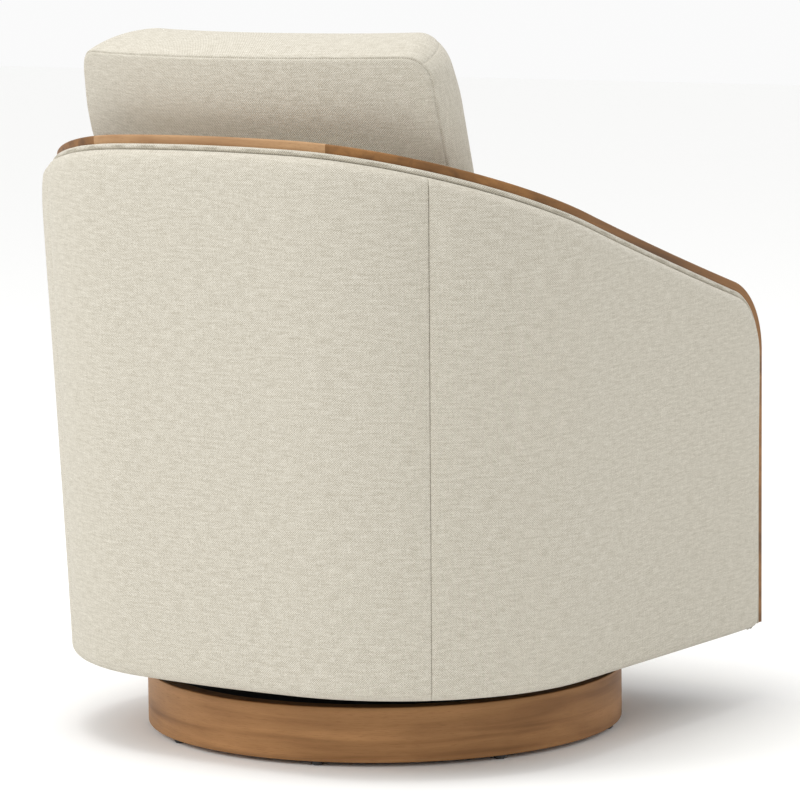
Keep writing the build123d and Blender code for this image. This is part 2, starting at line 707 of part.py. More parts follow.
def back_cushion():
    """Loose box cushion, bent to the barrel, crowned in front and on its boxing."""
    lean = cos(radians(recline))
    top = (back_cushion_top_z - back_cushion_z) / lean
    low = (seat_cushion_seam - back_cushion_z) / lean - 40
    corner = back_cushion_corner
    width = back_cushion_half_width
    crown = back_cushion_crown
    wires = [back_cushion_outline(low, width, crown)]
    for share in (1.0, 0.6, 0.2):
        cut = corner * (1 - sqrt(1 - (1 - share) ** 2))
        wires.append(back_cushion_outline(top - share * corner, width - cut, crown * sqrt(share)))
    wires.append(back_cushion_outline(top, width - 0.8 * corner, 0.3 * crown, 1.5))
    wires.append(back_cushion_outline(top + 0.7 * back_cushion_top_crown, width - corner, 0.0, 12))
    wires.append(back_cushion_outline(top + back_cushion_top_crown, width - corner, 0.0, 30))
    body = Solid.make_loft(wires, ruled=True)
    return body & slab(seat_cushion_top + cushion_clearance, 2 * tall)


def seat_cushion_outline(z, shrink, rear_shrink):
    """Plan of the seat cushion: sides follow the arms, edges drawn in between the corners."""
    toe = tan(radians(arm_toe_in))
    grow = (seat_cushion_low - shell_low) * tan(radians(barrel_flare))
    half = barrel_half_width + grow - pad_inner - seat_cushion_side_gap
    front = -seat_cushion_front + shrink
    front_x = half + front * toe - shrink
    rear_x = front_x + 2
    rear = slope_y(z, -seat_cushion_rear_gap) - rear_shrink
    rear_side = slope_y(z, -seat_cushion_rear_gap, rear_x) - rear_shrink
    dip = seat_cushion_draw_in
    middle = (front + rear_side) / 2
    edges = [
        ThreePointArc((-front_x, front), (0, front + dip), (front_x, front)),
        ThreePointArc((front_x, front), ((front_x + rear_x) / 2 - dip, middle), (rear_x, rear_side)),
        ThreePointArc((rear_x, rear_side), (0, rear), (-rear_x, rear_side)),
        ThreePointArc((-rear_x, rear_side), (dip - (front_x + rear_x) / 2, middle), (-front_x, front)),
    ]
    face = make_face(Wire(edges))
    corners = face.vertices().sort_by(Axis.Y)
    face = fillet(corners[:2], max(seat_cushion_front_corner - shrink / 3, 12))
    corners = face.vertices().sort_by(Axis.Y)
    face = fillet(corners[-2:], max(seat_cushion_rear_corner - shrink, 30))
    return Pos(0, 0, z) * face.wire()


def seat_cushion():
    """Loose box cushion on the deck, crowned on top and drawn in at its boxing."""
    crown = seat_cushion_crown
    low, seam = seat_cushion_low, seat_cushion_seam
    puff = seat_cushion_side_crown
    levels = [
        (low, 16, 16),
        (low + 9, puff, puff),
        (low + 0.5 * seat_cushion_boxing, 0, 0),
        (seam - 9, puff, puff),
        (seam, puff + 6, puff + 6),
        (seam + 0.45 * crown, 34, 60),
        (seam + 0.8 * crown, 74, 84),
        (seam + crown, 128, 106),
    ]
    return Solid.make_loft([seat_cushion_outline(*level) for level in levels], ruled=True)


# ---- all nodes ------------------------------------------------------------------------------
def all_nodes():
    nodes = {}
    makers = (plinth_ring, plinth_top_board, plinth_glue_blocks, floor_glides, swivel_lower_plate,
              swivel_upper_plate, swivel_balls, swivel_ball_cage, king_rivet, lower_plate_screws,
              upper_plate_bolts, upper_plate_nuts, bottom_board, dust_cover, seat_webbing, seat_deck,
              rim_welt, back_cushion, seat_cushion)
    for maker in makers:
        nodes[maker.__name__] = maker()
    for group in (rim_rails, posts, seat_rails, inner_pads, outer_layers, front_layers, wood_trim):
        nodes.update(group())
    return nodes


def main():
    os.makedirs("parts", exist_ok=True)
    for name, shape in all_nodes().items():
        export_step(shape, f"parts/{name}.step")
        print(f"{name}: {len(shape.solids())} solids, {shape.volume / 1000:.1f} cm3")


main()
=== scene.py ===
import bpy
import bmesh
from math import atan2, cos, exp, hypot, pi, radians, sin, sqrt, tan
from mathutils import Matrix, Vector, noise
from mathutils.kdtree import KDTree


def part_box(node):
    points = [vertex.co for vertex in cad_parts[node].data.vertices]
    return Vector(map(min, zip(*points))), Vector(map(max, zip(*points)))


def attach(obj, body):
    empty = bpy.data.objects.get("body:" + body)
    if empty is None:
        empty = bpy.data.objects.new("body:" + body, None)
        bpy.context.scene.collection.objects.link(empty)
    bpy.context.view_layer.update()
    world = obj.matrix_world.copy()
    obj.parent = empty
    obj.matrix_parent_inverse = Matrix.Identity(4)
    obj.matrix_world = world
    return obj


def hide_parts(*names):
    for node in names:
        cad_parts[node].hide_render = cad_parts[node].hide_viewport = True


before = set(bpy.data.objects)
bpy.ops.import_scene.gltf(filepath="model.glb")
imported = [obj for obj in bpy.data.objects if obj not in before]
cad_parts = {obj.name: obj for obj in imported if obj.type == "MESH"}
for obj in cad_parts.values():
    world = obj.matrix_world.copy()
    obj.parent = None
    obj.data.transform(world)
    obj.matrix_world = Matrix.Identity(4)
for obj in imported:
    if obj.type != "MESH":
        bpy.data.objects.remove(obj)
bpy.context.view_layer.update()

# ---- Camera ---------------------------------------------------------------------------------
# A long lens about five metres behind the chair and to the sitter's right, a little above the
# rim and tipped slightly down.
mm = 0.001
eye = Vector((-2803.2 * mm, 3896.5 * mm, 978.9 * mm))
eye_heading = radians(35.48)
eye_tilt = radians(7.247)
eye_roll = radians(0.664)
lens_in_pixels = 4241.2
frame_pixels = 800
sensor = 36.0

forward = Vector((sin(eye_heading) * cos(eye_tilt), -cos(eye_heading) * cos(eye_tilt), -sin(eye_tilt)))
level_right = Vector((-cos(eye_heading), -sin(eye_heading), 0))
level_up = level_right.cross(forward)
right = level_right * cos(eye_roll) - level_up * sin(eye_roll)
up = level_right * sin(eye_roll) + level_up * cos(eye_roll)
camera = bpy.data.objects.new("camera", bpy.data.cameras.new("camera"))
camera.data.sensor_width = sensor
camera.data.lens = lens_in_pixels / frame_pixels * sensor
camera.data.clip_end = 60
camera.matrix_world = Matrix.Translation(eye) @ Matrix((right, up, -forward)).transposed().to_4x4()
bpy.context.scene.collection.objects.link(camera)
bpy.context.scene.camera = camera


# ---- Studio ---------------------------------------------------------------------------------
# A seamless sheet of matt white paper under a white sky, with one large soft light high behind
# the chair on the sitter's left, and one straight above it.
def linear(code):
    """Linear colour of an sRGB hex code."""
    parts = [int(code[at:at + 2], 16) / 255 for at in (1, 3, 5)]
    return tuple(p / 12.92 if p <= 0.04045 else ((p + 0.055) / 1.055) ** 2.4 for p in parts) + (1,)


def wire(material, made, links):
    """Fills a node's inputs, named as in Blender or i0, i1 by place, with values or links."""
    for name, value in links.items():
        socket = made.inputs[int(name[1:]) if name[1:].isdigit() else name.replace("_", " ")]
        value = value.outputs[0] if isinstance(value, bpy.types.Node) else value
        if isinstance(value, bpy.types.NodeSocket):
            material.node_tree.links.new(value, socket)
        else:
            socket.default_value = value


def node(material, kind, settings=None, **links):
    """Adds a node with its settings and links."""
    made = material.node_tree.nodes.new(kind)
    for name, value in (settings or {}).items():
        setattr(made, name, value)
    wire(material, made, links)
    return made


def new_material(name):
    """An empty node material and its shader."""
    material = bpy.data.materials.new(name)
    material.use_nodes = True
    return material, material.node_tree.nodes["Principled BSDF"]


floor_reach = 12.0
floor_mesh = bmesh.new()
bmesh.ops.create_grid(floor_mesh, x_segments=1, y_segments=1, size=floor_reach)
floor_data = bpy.data.meshes.new("studio_floor")
floor_mesh.to_mesh(floor_data)
floor_mesh.free()
floor = bpy.data.objects.new("studio_floor", floor_data)
bpy.context.scene.collection.objects.link(floor)
paper, paper_shader = new_material("matt_white_paper")
wire(paper, paper_shader, {"Base Color": linear("#fdfdfc"), "Roughness": 0.95, "Specular IOR Level": 0.05})
floor_data.materials.append(paper)

sky = bpy.data.worlds.new("studio_sky")
sky.use_nodes = True
sky.node_tree.nodes["Background"].inputs["Color"].default_value = linear("#ffffff")
sky.node_tree.nodes["Background"].inputs["Strength"].default_value = 0.96
bpy.context.scene.world = sky
bpy.context.scene.view_settings.view_transform = "Standard"

chair_middle = Vector((0, 0, 0.4))


def soft_light(name, place, size, power):
    """A square area light aimed at the middle of the chair; size in metres, power in watts."""
    data = bpy.data.lights.new(name, "AREA")
    data.size = size
    data.energy = power
    light = bpy.data.objects.new(name, data)
    aim = chair_middle - Vector(place)
    light.matrix_world = Matrix.Translation(place) @ aim.to_track_quat("-Z", "Y").to_matrix().to_4x4()
    bpy.context.scene.collection.objects.link(light)


soft_light("key_light", place=(2.4, 3.0, 2.4), size=2.2, power=48)
soft_light("top_light", place=(0.1, 0.5, 3.4), size=1.6, power=40)

# ---- Plinth ---------------------------------------------------------------------------------
# A bent plywood hoop faced with stained oak veneer, its grain running round the hoop. The top board is let in
# flush and coloured near black; eight black nylon glides are nailed under the hoop.
plinth_radius = 272 * mm


def stained_veneer(material, shader, grain, pale, dark, roughness):
    """Open-pored wood: grain holds the distance along the fibres, then two across, in metres."""
    # Cells of noise per metre, along the fibres and across them: pores are 12 mm long and 0.7 mm
    # wide, growth bands 250 mm long and 15 mm wide, and clouds in the stain 200 by 90 mm.
    pore_cells, band_cells, cloud_cells = (80, 1500, 1500), (4, 65, 65), (5, 11, 11)
    pore_place = node(material, "ShaderNodeMapping", Vector=grain, Scale=pore_cells)
    band_place = node(material, "ShaderNodeMapping", Vector=grain, Scale=band_cells)
    cloud_place = node(material, "ShaderNodeMapping", Vector=grain, Scale=cloud_cells)
    pores = node(material, "ShaderNodeTexNoise", Vector=pore_place, Scale=1.0, Detail=3.0)
    bands = node(material, "ShaderNodeTexNoise", Vector=band_place, Scale=1.0, Detail=5.0, Distortion=0.6)
    clouds = node(material, "ShaderNodeTexNoise", Vector=cloud_place, Scale=1.0, Detail=3.0)
    mixed = node(material, "ShaderNodeMath", {"operation": "ADD"}, i0=bands, i1=clouds)
    tone = node(material, "ShaderNodeMapRange", Value=mixed, From_Min=0.72, From_Max=1.28)
    figure = node(material, "ShaderNodeMix", {"data_type": "RGBA"}, i0=tone, i6=linear(dark), i7=linear(pale))
    open_pores = node(material, "ShaderNodeMapRange", Value=pores, From_Min=0.30, From_Max=0.46, To_Min=0.5,
                      To_Max=0.0)
    stain = node(material, "ShaderNodeMix", {"data_type": "RGBA"}, i0=open_pores, i6=figure.outputs[2],
                 i7=linear(dark))
    bump = node(material, "ShaderNodeBump", Height=pores, Strength=0.12, Distance=0.4 * mm)
    wire(material, shader, {"Base Color": stain.outputs[2], "Normal": bump, "Roughness": roughness,
                            "Specular IOR Level": 0.3})


def finish_node(name, material):
    """Gives a construction piece its finish."""
    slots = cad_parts[name].data.materials
    slots.clear()
    slots.append(material)


# Oak veneer, stained walnut brown under satin lacquer: fine dark pores and a soft sheen.
hoop_oak, hoop_shader = new_material("stained_oak_hoop_veneer")
place = node(hoop_oak, "ShaderNodeTexCoord").outputs["Object"]
axes = node(hoop_oak, "ShaderNodeSeparateXYZ", Vector=place)
turn = node(hoop_oak, "ShaderNodeMath", {"operation": "ARCTAN2"}, i0=axes.outputs[0], i1=axes.outputs[1])
run = node(hoop_oak, "ShaderNodeMath", {"operation": "MULTIPLY"}, i0=turn, i1=plinth_radius)
reach = node(hoop_oak, "ShaderNodeVectorMath", {"operation": "LENGTH"}, i0=place)
grain = node(hoop_oak, "ShaderNodeCombineXYZ", X=run, Y=axes.outputs[2], Z=reach.outputs["Value"])
stained_veneer(hoop_oak, hoop_shader, grain, pale="#b18252", dark="#7b542e", roughness=0.55)
finish_node("plinth_ring", hoop_oak)

# The top board's colour: near black and matt, with a faint pebbled skin.
near_black_top_finish, top_finish_shader = new_material("matt_near_black_top_board")
place = node(near_black_top_finish, "ShaderNodeTexCoord").outputs["Object"]
skin = node(near_black_top_finish, "ShaderNodeTexNoise", Vector=place, Scale=420.0, Detail=2.0)
bump = node(near_black_top_finish, "ShaderNodeBump", Height=skin, Strength=0.1, Distance=0.3 * mm)
wire(near_black_top_finish, top_finish_shader, {"Base Color": linear("#0c0b0a"), "Roughness": 0.62, "Normal": bump})
finish_node("plinth_top_board", near_black_top_finish)

# Moulded nylon: black and faintly glossy, with a slight orange-peel skin.
black_nylon, nylon_shader = new_material("moulded_black_nylon")
place = node(black_nylon, "ShaderNodeTexCoord").outputs["Object"]
skin = node(black_nylon, "ShaderNodeTexNoise", Vector=place, Scale=900.0)
bump = node(black_nylon, "ShaderNodeBump", Height=skin, Strength=0.08, Distance=0.2 * mm)
wire(black_nylon, nylon_shader, {"Base Color": linear("#17171a"), "Roughness": 0.34, "IOR": 1.53,
                                 "Normal": bump})
finish_node("floor_glides", black_nylon)

# ---- Swivel ---------------------------------------------------------------------------------
# Two pressed steel plates with a ring of balls in a flat cage between them, held by a king
# rivet and screwed to the plinth below and bolted to the chair above. All of it is zinc plated.
zinc, zinc_shader = new_material("zinc_plated_pressed_steel")
place = node(zinc, "ShaderNodeTexCoord").outputs["Object"]
cloud = node(zinc, "ShaderNodeTexNoise", Vector=place, Scale=60.0, Detail=4.0)
tone = node(zinc, "ShaderNodeMix", {"data_type": "RGBA"}, i0=cloud, i6=linear("#7f8284"),
            i7=linear("#a9abac"))
dull = node(zinc, "ShaderNodeMapRange", Value=cloud, To_Min=0.3, To_Max=0.5)
wire(zinc, zinc_shader, {"Metallic": 1.0, "Base Color": tone.outputs[2], "Roughness": dull})
for name in ("swivel_lower_plate", "swivel_upper_plate", "swivel_balls", "swivel_ball_cage", "king_rivet",
             "lower_plate_screws", "upper_plate_bolts", "upper_plate_nuts"):
    finish_node(name, zinc)

# ---- Frame ----------------------------------------------------------------------------------
# Plywood rails, posts and blocks, with thin bent fibreboard between them, elastic webbing under
# the seat and a black dust cover under the bottom board. The upholstery closes all of it in.
plywood, plywood_shader = new_material("birch_plywood")
place = node(plywood, "ShaderNodeTexCoord").outputs["Object"]
stained_veneer(plywood, plywood_shader, place, pale="#d6b98f", dark="#b08d62", roughness=0.6)
for name in ("plinth_glue_blocks", "bottom_board", "back_top_rail", "seat_front_rail", "seat_back_rail",
             "seat_side_rail_left", "seat_side_rail_right", "seat_corner_blocks", "arm_top_rail_left",
             "arm_top_rail_right", "arm_front_post_left", "arm_front_post_right", "arm_post_left",
             "arm_post_right", "corner_post_left", "corner_post_right", "back_post_left", "back_post_right"):
    finish_node(name, plywood)

# Hardboard: brown, with a fine fibre fleck.
fibreboard, board_shader = new_material("pressed_fibreboard")
place = node(fibreboard, "ShaderNodeTexCoord").outputs["Object"]
fleck = node(fibreboard, "ShaderNodeTexNoise", Vector=place, Scale=700.0, Detail=4.0)
tone = node(fibreboard, "ShaderNodeMix", {"data_type": "RGBA"}, i0=fleck, i6=linear("#6d5539"),
            i7=linear("#9a7d57"))
wire(fibreboard, board_shader, {"Base Color": tone.outputs[2], "Roughness": 0.8})
for name in ("outer_back_board", "outer_left_board", "outer_right_board", "front_board", "inner_back_board"):
    finish_node(name, fibreboard)


def woven_cloth(name, coordinates, thread, pale, dark, slub, fleck, depth):
    """Plain weave of slub yarn, on a cloth map in metres; slub and fleck say how uneven it is."""
    material, shader = new_material(name)
    place = node(material, "ShaderNodeTexCoord").outputs[coordinates]
    threads = node(material, "ShaderNodeMapping", Vector=place, Scale=[pi / thread] * 3)
    axes = node(material, "ShaderNodeSeparateXYZ", Vector=threads)
    warp = node(material, "ShaderNodeMath", {"operation": "SINE"}, i0=axes.outputs[0])
    weft = node(material, "ShaderNodeMath", {"operation": "SINE"}, i0=axes.outputs[1])
    crossing = node(material, "ShaderNodeMath", {"operation": "MULTIPLY"}, i0=warp, i1=weft)
    # Slubs are thick stretches of yarn, two threads wide, 17 mm long in the weft and 12 mm long in
    # the warp; flecks are about a thread wide. Each is given in cells of noise per metre.
    weft_slubs, warp_slubs = 60, 85
    slubs_across, flecks_across = 0.45 / thread, 0.9 / thread
    row_place = node(material, "ShaderNodeMapping", Vector=place, Scale=(weft_slubs, slubs_across, 1))
    column_place = node(material, "ShaderNodeMapping", Vector=place, Scale=(slubs_across, warp_slubs, 1))
    fleck_place = node(material, "ShaderNodeMapping", Vector=place, Scale=(flecks_across, flecks_across, 1))
    rows = node(material, "ShaderNodeTexNoise", Vector=row_place, Scale=1.0, Detail=2.0)
    columns = node(material, "ShaderNodeTexNoise", Vector=column_place, Scale=1.0, Detail=2.0)
    flecks = node(material, "ShaderNodeTexNoise", Vector=fleck_place, Scale=1.0, Detail=1.0)
    middle = 0.5 - 0.5 * (1.6 * slub + fleck)
    level = node(material, "ShaderNodeMath", {"operation": "MULTIPLY_ADD"}, i0=rows, i1=slub, i2=middle)
    level = node(material, "ShaderNodeMath", {"operation": "MULTIPLY_ADD"}, i0=columns, i1=0.6 * slub,
                 i2=level)
    level = node(material, "ShaderNodeMath", {"operation": "MULTIPLY_ADD"}, i0=flecks, i1=fleck, i2=level)
    level = node(material, "ShaderNodeMath", {"operation": "MULTIPLY_ADD"}, i0=crossing, i1=0.45, i2=level)
    tone = node(material, "ShaderNodeMapRange", Value=level, From_Min=0.1, From_Max=0.9)
    yarn = node(material, "ShaderNodeMix", {"data_type": "RGBA"}, i0=tone, i6=linear(dark), i7=linear(pale))
    height = node(material, "ShaderNodeMath", {"operation": "MULTIPLY_ADD"}, i0=level, i1=1.6, i2=crossing)
    bump = node(material, "ShaderNodeBump", Height=height, Strength=0.3, Distance=depth)
    wire(material, shader, {"Base Color": yarn.outputs[2], "Normal": bump, "Roughness": 0.9,
                            "Specular IOR Level": 0.2, "Sheen Weight": 0.12, "Sheen Roughness": 0.5})
    return material


# Elastic webbing is brown and coarse; the dust cover is a thin black felt of fine fibres.
jute = woven_cloth("elastic_jute_webbing", "Object", thread=2.4 * mm, pale="#6d5a3e", dark="#3a2f22",
                   slub=0.9, fleck=0.6, depth=0.6 * mm)
finish_node("seat_webbing", jute)
felt = woven_cloth("black_spunbond_cloth", "Object", thread=1.2 * mm, pale="#1f1f1f", dark="#0d0d0d",
                   slub=0.3, fleck=0.9, depth=0.2 * mm)
finish_node("dust_cover", felt)

# ---- Outer covers ---------------------------------------------------------------------------
# Three padded panels of cream slub linen over thin wadding: one round the back and one for each
# side, machine sewn together at the corners, pulled over the frame's edge under the wood.

# In plan the barrel is a shallow back arc, two corner arcs and two straight arms that toe in. Its
# wall leans outwards, and in side view its rim is a long shallow arc that turns down at the arms.
shell_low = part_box("outer_back_cover")[0].z
barrel_half_width = 324.5 * mm
barrel_back_reach = 321.5 * mm
barrel_back_radius = 1168 * mm
barrel_corner_radius = 236 * mm
barrel_flare = radians(2.0)
arm_toe_in = radians(1.25)
seam_angle = radians(48.4)
rim_back = (330 * mm, 691 * mm)
rim_arm = (-257 * mm, 496 * mm)
rim_sag = 5 * mm
arm_front_reach = 337.5 * mm
arm_front_lean = radians(3.35)
arm_corner_radius = 95 * mm
welt_depth = 17 * mm
shoulder_round = 11 * mm
bottom_round = 11 * mm


def corner_centre():
    """Plan centre of the back corner, tangent inside to the back arc and to the arm line."""
    start = (barrel_half_width - barrel_corner_radius * cos(arm_toe_in),
             barrel_corner_radius * sin(arm_toe_in))
    reach = barrel_back_radius - barrel_corner_radius
    from_back = (start[0], start[1] - back_centre)
    along = from_back[0] * sin(arm_toe_in) + from_back[1] * cos(arm_toe_in)
    step = sqrt(along ** 2 - hypot(*from_back) ** 2 + reach ** 2) - along
    return start[0] + step * sin(arm_toe_in), start[1] + step * cos(arm_toe_in)


back_centre = barrel_back_reach - barrel_back_radius
corner_x, corner_y = corner_centre()
join_angle = atan2(corner_y - back_centre, corner_x)
back_half = barrel_back_radius * (pi / 2 - join_angle)
corner_length = barrel_corner_radius * (join_angle + arm_toe_in)


def barrel_point(way, height, inset):
    """Point on the leaning barrel: way is measured round its foot from the middle of the back."""
    offset = (height - shell_low) * tan(barrel_flare) - inset
    side, run = (1 if way >= 0 else -1), abs(way)
    if run < back_half:
        angle = pi / 2 - run / barrel_back_radius
        radius = barrel_back_radius + offset
        return Vector((side * radius * cos(angle), back_centre + radius * sin(angle), height))
    run -= back_half
    angle = max(join_angle - run / barrel_corner_radius, -arm_toe_in)
    run = max(run - corner_length, 0)
    x = corner_x + (barrel_corner_radius + offset) * cos(angle) - run * sin(arm_toe_in)
    y = corner_y + (barrel_corner_radius + offset) * sin(angle) - run * cos(arm_toe_in)
    return Vector((side * x, y, height))


def rim_arc():
    """Side-view centre and radius of the rim's long shallow curve."""
    length = hypot(rim_back[0] - rim_arm[0], rim_back[1] - rim_arm[1])
    radius = (length ** 2 / 4 + rim_sag ** 2) / (2 * rim_sag)
    up = (-(rim_back[1] - rim_arm[1]) / length, (rim_back[0] - rim_arm[0]) / length)
    return [(rim_arm[at] + rim_back[at]) / 2 + up[at] * (radius - rim_sag) for at in (0, 1)], radius


def arm_corner():
    """Side-view centre of the arc between the rim's long curve and the arm front."""
    inwards = (cos(arm_front_lean), -sin(arm_front_lean))
    upwards = (sin(arm_front_lean), cos(arm_front_lean))
    start = (arm_corner_radius * inwards[0] - arm_front_reach, shell_low + arm_corner_radius * inwards[1])
    gap = (start[0] - rim_centre[0], start[1] - rim_centre[1])
    along = gap[0] * upwards[0] + gap[1] * upwards[1]
    step = -along - sqrt(along ** 2 - hypot(*gap) ** 2 + (rim_radius + arm_corner_radius) ** 2)
    return start[0] + step * upwards[0], start[1] + step * upwards[1]


rim_centre, rim_radius = rim_arc()
arm_centre = arm_corner()
rim_start_angle = atan2(rim_centre[1] - arm_centre[1], rim_centre[0] - arm_centre[0])
front_angle = pi - arm_front_lean
split_angle = (front_angle + rim_start_angle) / 2


def rim_height(y, depth):
    """Height of the rim line at a depth under the wood's face, behind the arm's corner."""
    radius = arm_corner_radius - depth
    if y > arm_centre[0] + radius * cos(rim_start_angle):
        return rim_centre[1] - sqrt((rim_radius + depth) ** 2 - (y - rim_centre[0]) ** 2)
    return arm_centre[1] + sqrt(max(radius ** 2 - (y - arm_centre[0]) ** 2, 0))


def rim_point(way, depth, inset):
    """Point under the rim, at a way round the barrel.

    The rim's height depends on how far back a point lies, which depends on its height through
    the wall's lean, so the two are settled together.
    """
    point = barrel_point(way, rim_arm[1], inset)
    for _ in range(12):
        point = barrel_point(way, rim_height(point.y, depth), inset)
    return point


def front_y(height, depth):
    """How far forward the arm's front edge lies at a height."""
    radius = arm_corner_radius - depth
    rise = height - arm_centre[1]
    if rise > radius * sin(front_angle):
        return arm_centre[0] - sqrt(max(radius ** 2 - rise ** 2, 0))
    return arm_centre[0] - radius / cos(arm_front_lean) + rise * tan(arm_front_lean)


def arm_way(y, height, inset):
    """Way round the barrel of a point on the straight part of an arm."""
    offset = (height - shell_low) * tan(barrel_flare) - inset
    run = corner_y - (barrel_corner_radius + offset) * sin(arm_toe_in) - y
    return back_half + corner_length + run / cos(arm_toe_in)


def front_way(height, depth, inset):
    """Way at which the arm's front edge lies at a height."""
    return arm_way(front_y(height, depth), height, inset)


def split_height(depth):
    """Height at which the arm's front edge is taken to end and its top edge to start."""
    return arm_centre[1] + (arm_corner_radius - depth) * sin(split_angle)


def edge_point(kind, share, low, depth, inset):
    """Point at a share of the arm's front edge or of its top edge, from its back to its front."""
    top = split_height(depth)
    if kind == "front":
        height = low + share * (top - low)
        return barrel_point(front_way(height, depth, inset), height, inset)
    last = front_way(top, depth, inset)
    return rim_point(arm_start + share * (last - arm_start), depth, inset)


# The region next to the arm front, whose columns follow the front edge, starts 150 mm behind it.
arm_region = 150 * mm
arm_start = front_way(arm_centre[1], 0, 0) - arm_region
seam_way = back_half + barrel_corner_radius * (join_angle - seam_angle)


def add_grid(mesh, across, down, place):
    """Adds a grid whose vertices are put where place(i, j) says: (point, cloth map position)."""
    made = bmesh.ops.create_grid(mesh, x_segments=across, y_segments=down, size=1.0)["verts"]
    cloth_map = mesh.loops.layers.uv.verify()
    where = {}
    for vertex in made:
        i = round((vertex.co.x + 1) / 2 * across)
        j = round((vertex.co.y + 1) / 2 * down)
        vertex.co, where[vertex] = place(i, j)
    faces = {face for vertex in made for face in vertex.link_faces}
    for face in faces:
        for loop in face.loops:
            loop[cloth_map].uv = where[loop.vert]
    return faces


def shade_smooth(data):
    """Shades every face of a mesh smoothly."""
    for face in data.polygons:
        face.use_smooth = True


def make_piece(name, mesh, material, body, replaced):
    """Turns a bmesh into a finished piece that rides on a body and stands for its solid."""
    data = bpy.data.meshes.new(name)
    mesh.to_mesh(data)
    mesh.free()
    shade_smooth(data)
    data.materials.append(material)
    piece = bpy.data.objects.new(name, data)
    bpy.context.scene.collection.objects.link(piece)
    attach(piece, body)
    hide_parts(replaced)
    return piece


def add_wadding(piece, thickness):
    """Gives a sheet its cloth and wadding, on the side away from the eye."""
    wadding = piece.modifiers.new("wadding", "SOLIDIFY")
    wadding.thickness = thickness
    wadding.offset = -1


def spaced(start, stop, count):
    """Evenly spaced values from start to stop, both with them."""
    return [start + (stop - start) * step / count for step in range(count + 1)]


def panel_mesh(sign, way_at, count, arm_count, under, low, inset, shoulder, lift, settle=None):
    """Mesh of a padded panel on the barrel, with its edge turned over along the rim.

    way_at(i, height) gives the count columns behind the arm's front region, which has arm_count
    more; under and shoulder are rows of (height, inset) and (depth, inset) that the edges turn
    through; lift is how far the padding pushes a point outwards; settle moves a point aside.
    """
    mesh = bmesh.new()
    depth = shoulder[0][0]
    front_low = front_way(low, depth, inset)
    front_top = (front_way(split_height(depth), depth, inset), split_height(depth))

    def finish(point, way, column, free):
        """Pads a point and puts it on its side of the chair."""
        outward = barrel_point(way, point.z, -1 * mm) - barrel_point(way, point.z, 0)
        point = point + outward.normalized() * lift(way, point.z, column) * free
        if settle:
            point = settle(point)
        point.x *= sign
        return point

    def wall_place(i, share):
        """Way and height of a wall point."""
        if i < count:
            way = way_at(i, low)
            for _ in range(8):
                top = rim_point(way, depth, inset).z
                way = way_at(i, top)
            height = low + share * (top - low)
            return way_at(i, height), height
        # Next to the arm's front, a blend of the region's four edges.
        u = (i - count + 1) / arm_count
        height = low + share * (front_top[1] - low)
        right = (front_way(height, depth, inset), height)
        top_way = arm_start + u * (front_top[0] - arm_start)
        top = (top_way, rim_point(top_way, depth, inset).z)
        left_top = rim_point(arm_start, depth, inset).z
        left = (arm_start, low + share * (left_top - low))
        bottom = (arm_start + u * (front_low - arm_start), low)
        blend = []
        for at in (0, 1):
            edges = (1 - u) * left[at] + u * right[at] + (1 - share) * bottom[at] + share * top[at]
            corners = (1 - u) * (1 - share) * (arm_start, low)[at]
            corners += u * (1 - share) * (front_low, low)[at]
            corners += (1 - u) * share * (arm_start, left_top)[at] + u * share * front_top[at]
            blend.append(edges - corners)
        return blend

    def wall(i, j):
        """Point of the panel's face, with the rows turned under its foot."""
        if j < len(under):
            way = wall_place(i, 0.0)[0]
            height, curl = under[j]
            free = 1 - curl / under[0][1]
        else:
            way, height = wall_place(i, (j - len(under)) / wall_rows)
            curl, free = 0.0, 1.0
        point = barrel_point(way, height, inset + curl)
        return finish(point, way, i, free), (way, height - curl)

    add_grid(mesh, count + arm_count - 1, len(under) + wall_rows, wall)

    marks = []
    if arm_count:
        marks = [("under", row) for row in under]
        marks += [("front", row / wall_rows) for row in range(wall_rows + 1)]
        marks += [("rim", 1 - step / arm_count) for step in range(1, arm_count)]
    marks += [("way", column) for column in reversed(range(count))]

    def strip(i, j):
        """Point of the edge that is turned over along the arm's front and the rim."""
        kind, value = marks[i]
        row_depth, row_inset = shoulder[j]
        free = 1 - (row_inset - inset) / (shoulder[-1][1] - inset)
        column = count
        if kind == "under":
            height, curl = value
            share = min(j / shoulder_steps, 1)
            row_depth += curl * sin(pi / 2 * share)
            row_inset += curl * cos(pi / 2 * share)
            way = front_way(height, row_depth, row_inset)
            point = barrel_point(way, height, row_inset)
            free *= 1 - curl / under[0][1]
        elif kind == "way":
            column = value
            way = way_at(column, low)
            for _ in range(8):
                point = rim_point(way, row_depth, row_inset)
                way = way_at(column, point.z)
        else:
            point = edge_point(kind, value, low, row_depth, row_inset)
            way = arm_way(point.y, point.z, 0)
        turned = row_inset - inset
        return finish(point, way, column, free), (way, point.z + turned)

    add_grid(mesh, len(marks) - 1, len(shoulder) - 1, strip)
    bmesh.ops.remove_doubles(mesh, verts=mesh.verts, dist=merge_gap)
    bmesh.ops.recalc_face_normals(mesh, faces=mesh.faces)
    return mesh


def face_outwards(mesh, outward):
    """Turns the faces round if their normals point against outward(point), taken together."""
    facing = [face.normal.dot(outward(face.calc_center_median())) * face.calc_area() for face in mesh.faces]
    if sum(facing) < 0:
        bmesh.ops.reverse_faces(mesh, faces=mesh.faces)


# Cream linen-look weave with slub yarn: matt, with fine threads and faint short streaks. The
# real threads are 0.7 mm apart and are drawn at 1.25 mm, so that they show in the render.
linen = woven_cloth("cream_slub_linen", "UV", thread=1.25 * mm, pale="#d6d1c4", dark="#a69f8f",
                    slub=0.7, fleck=1.1, depth=0.5 * mm)

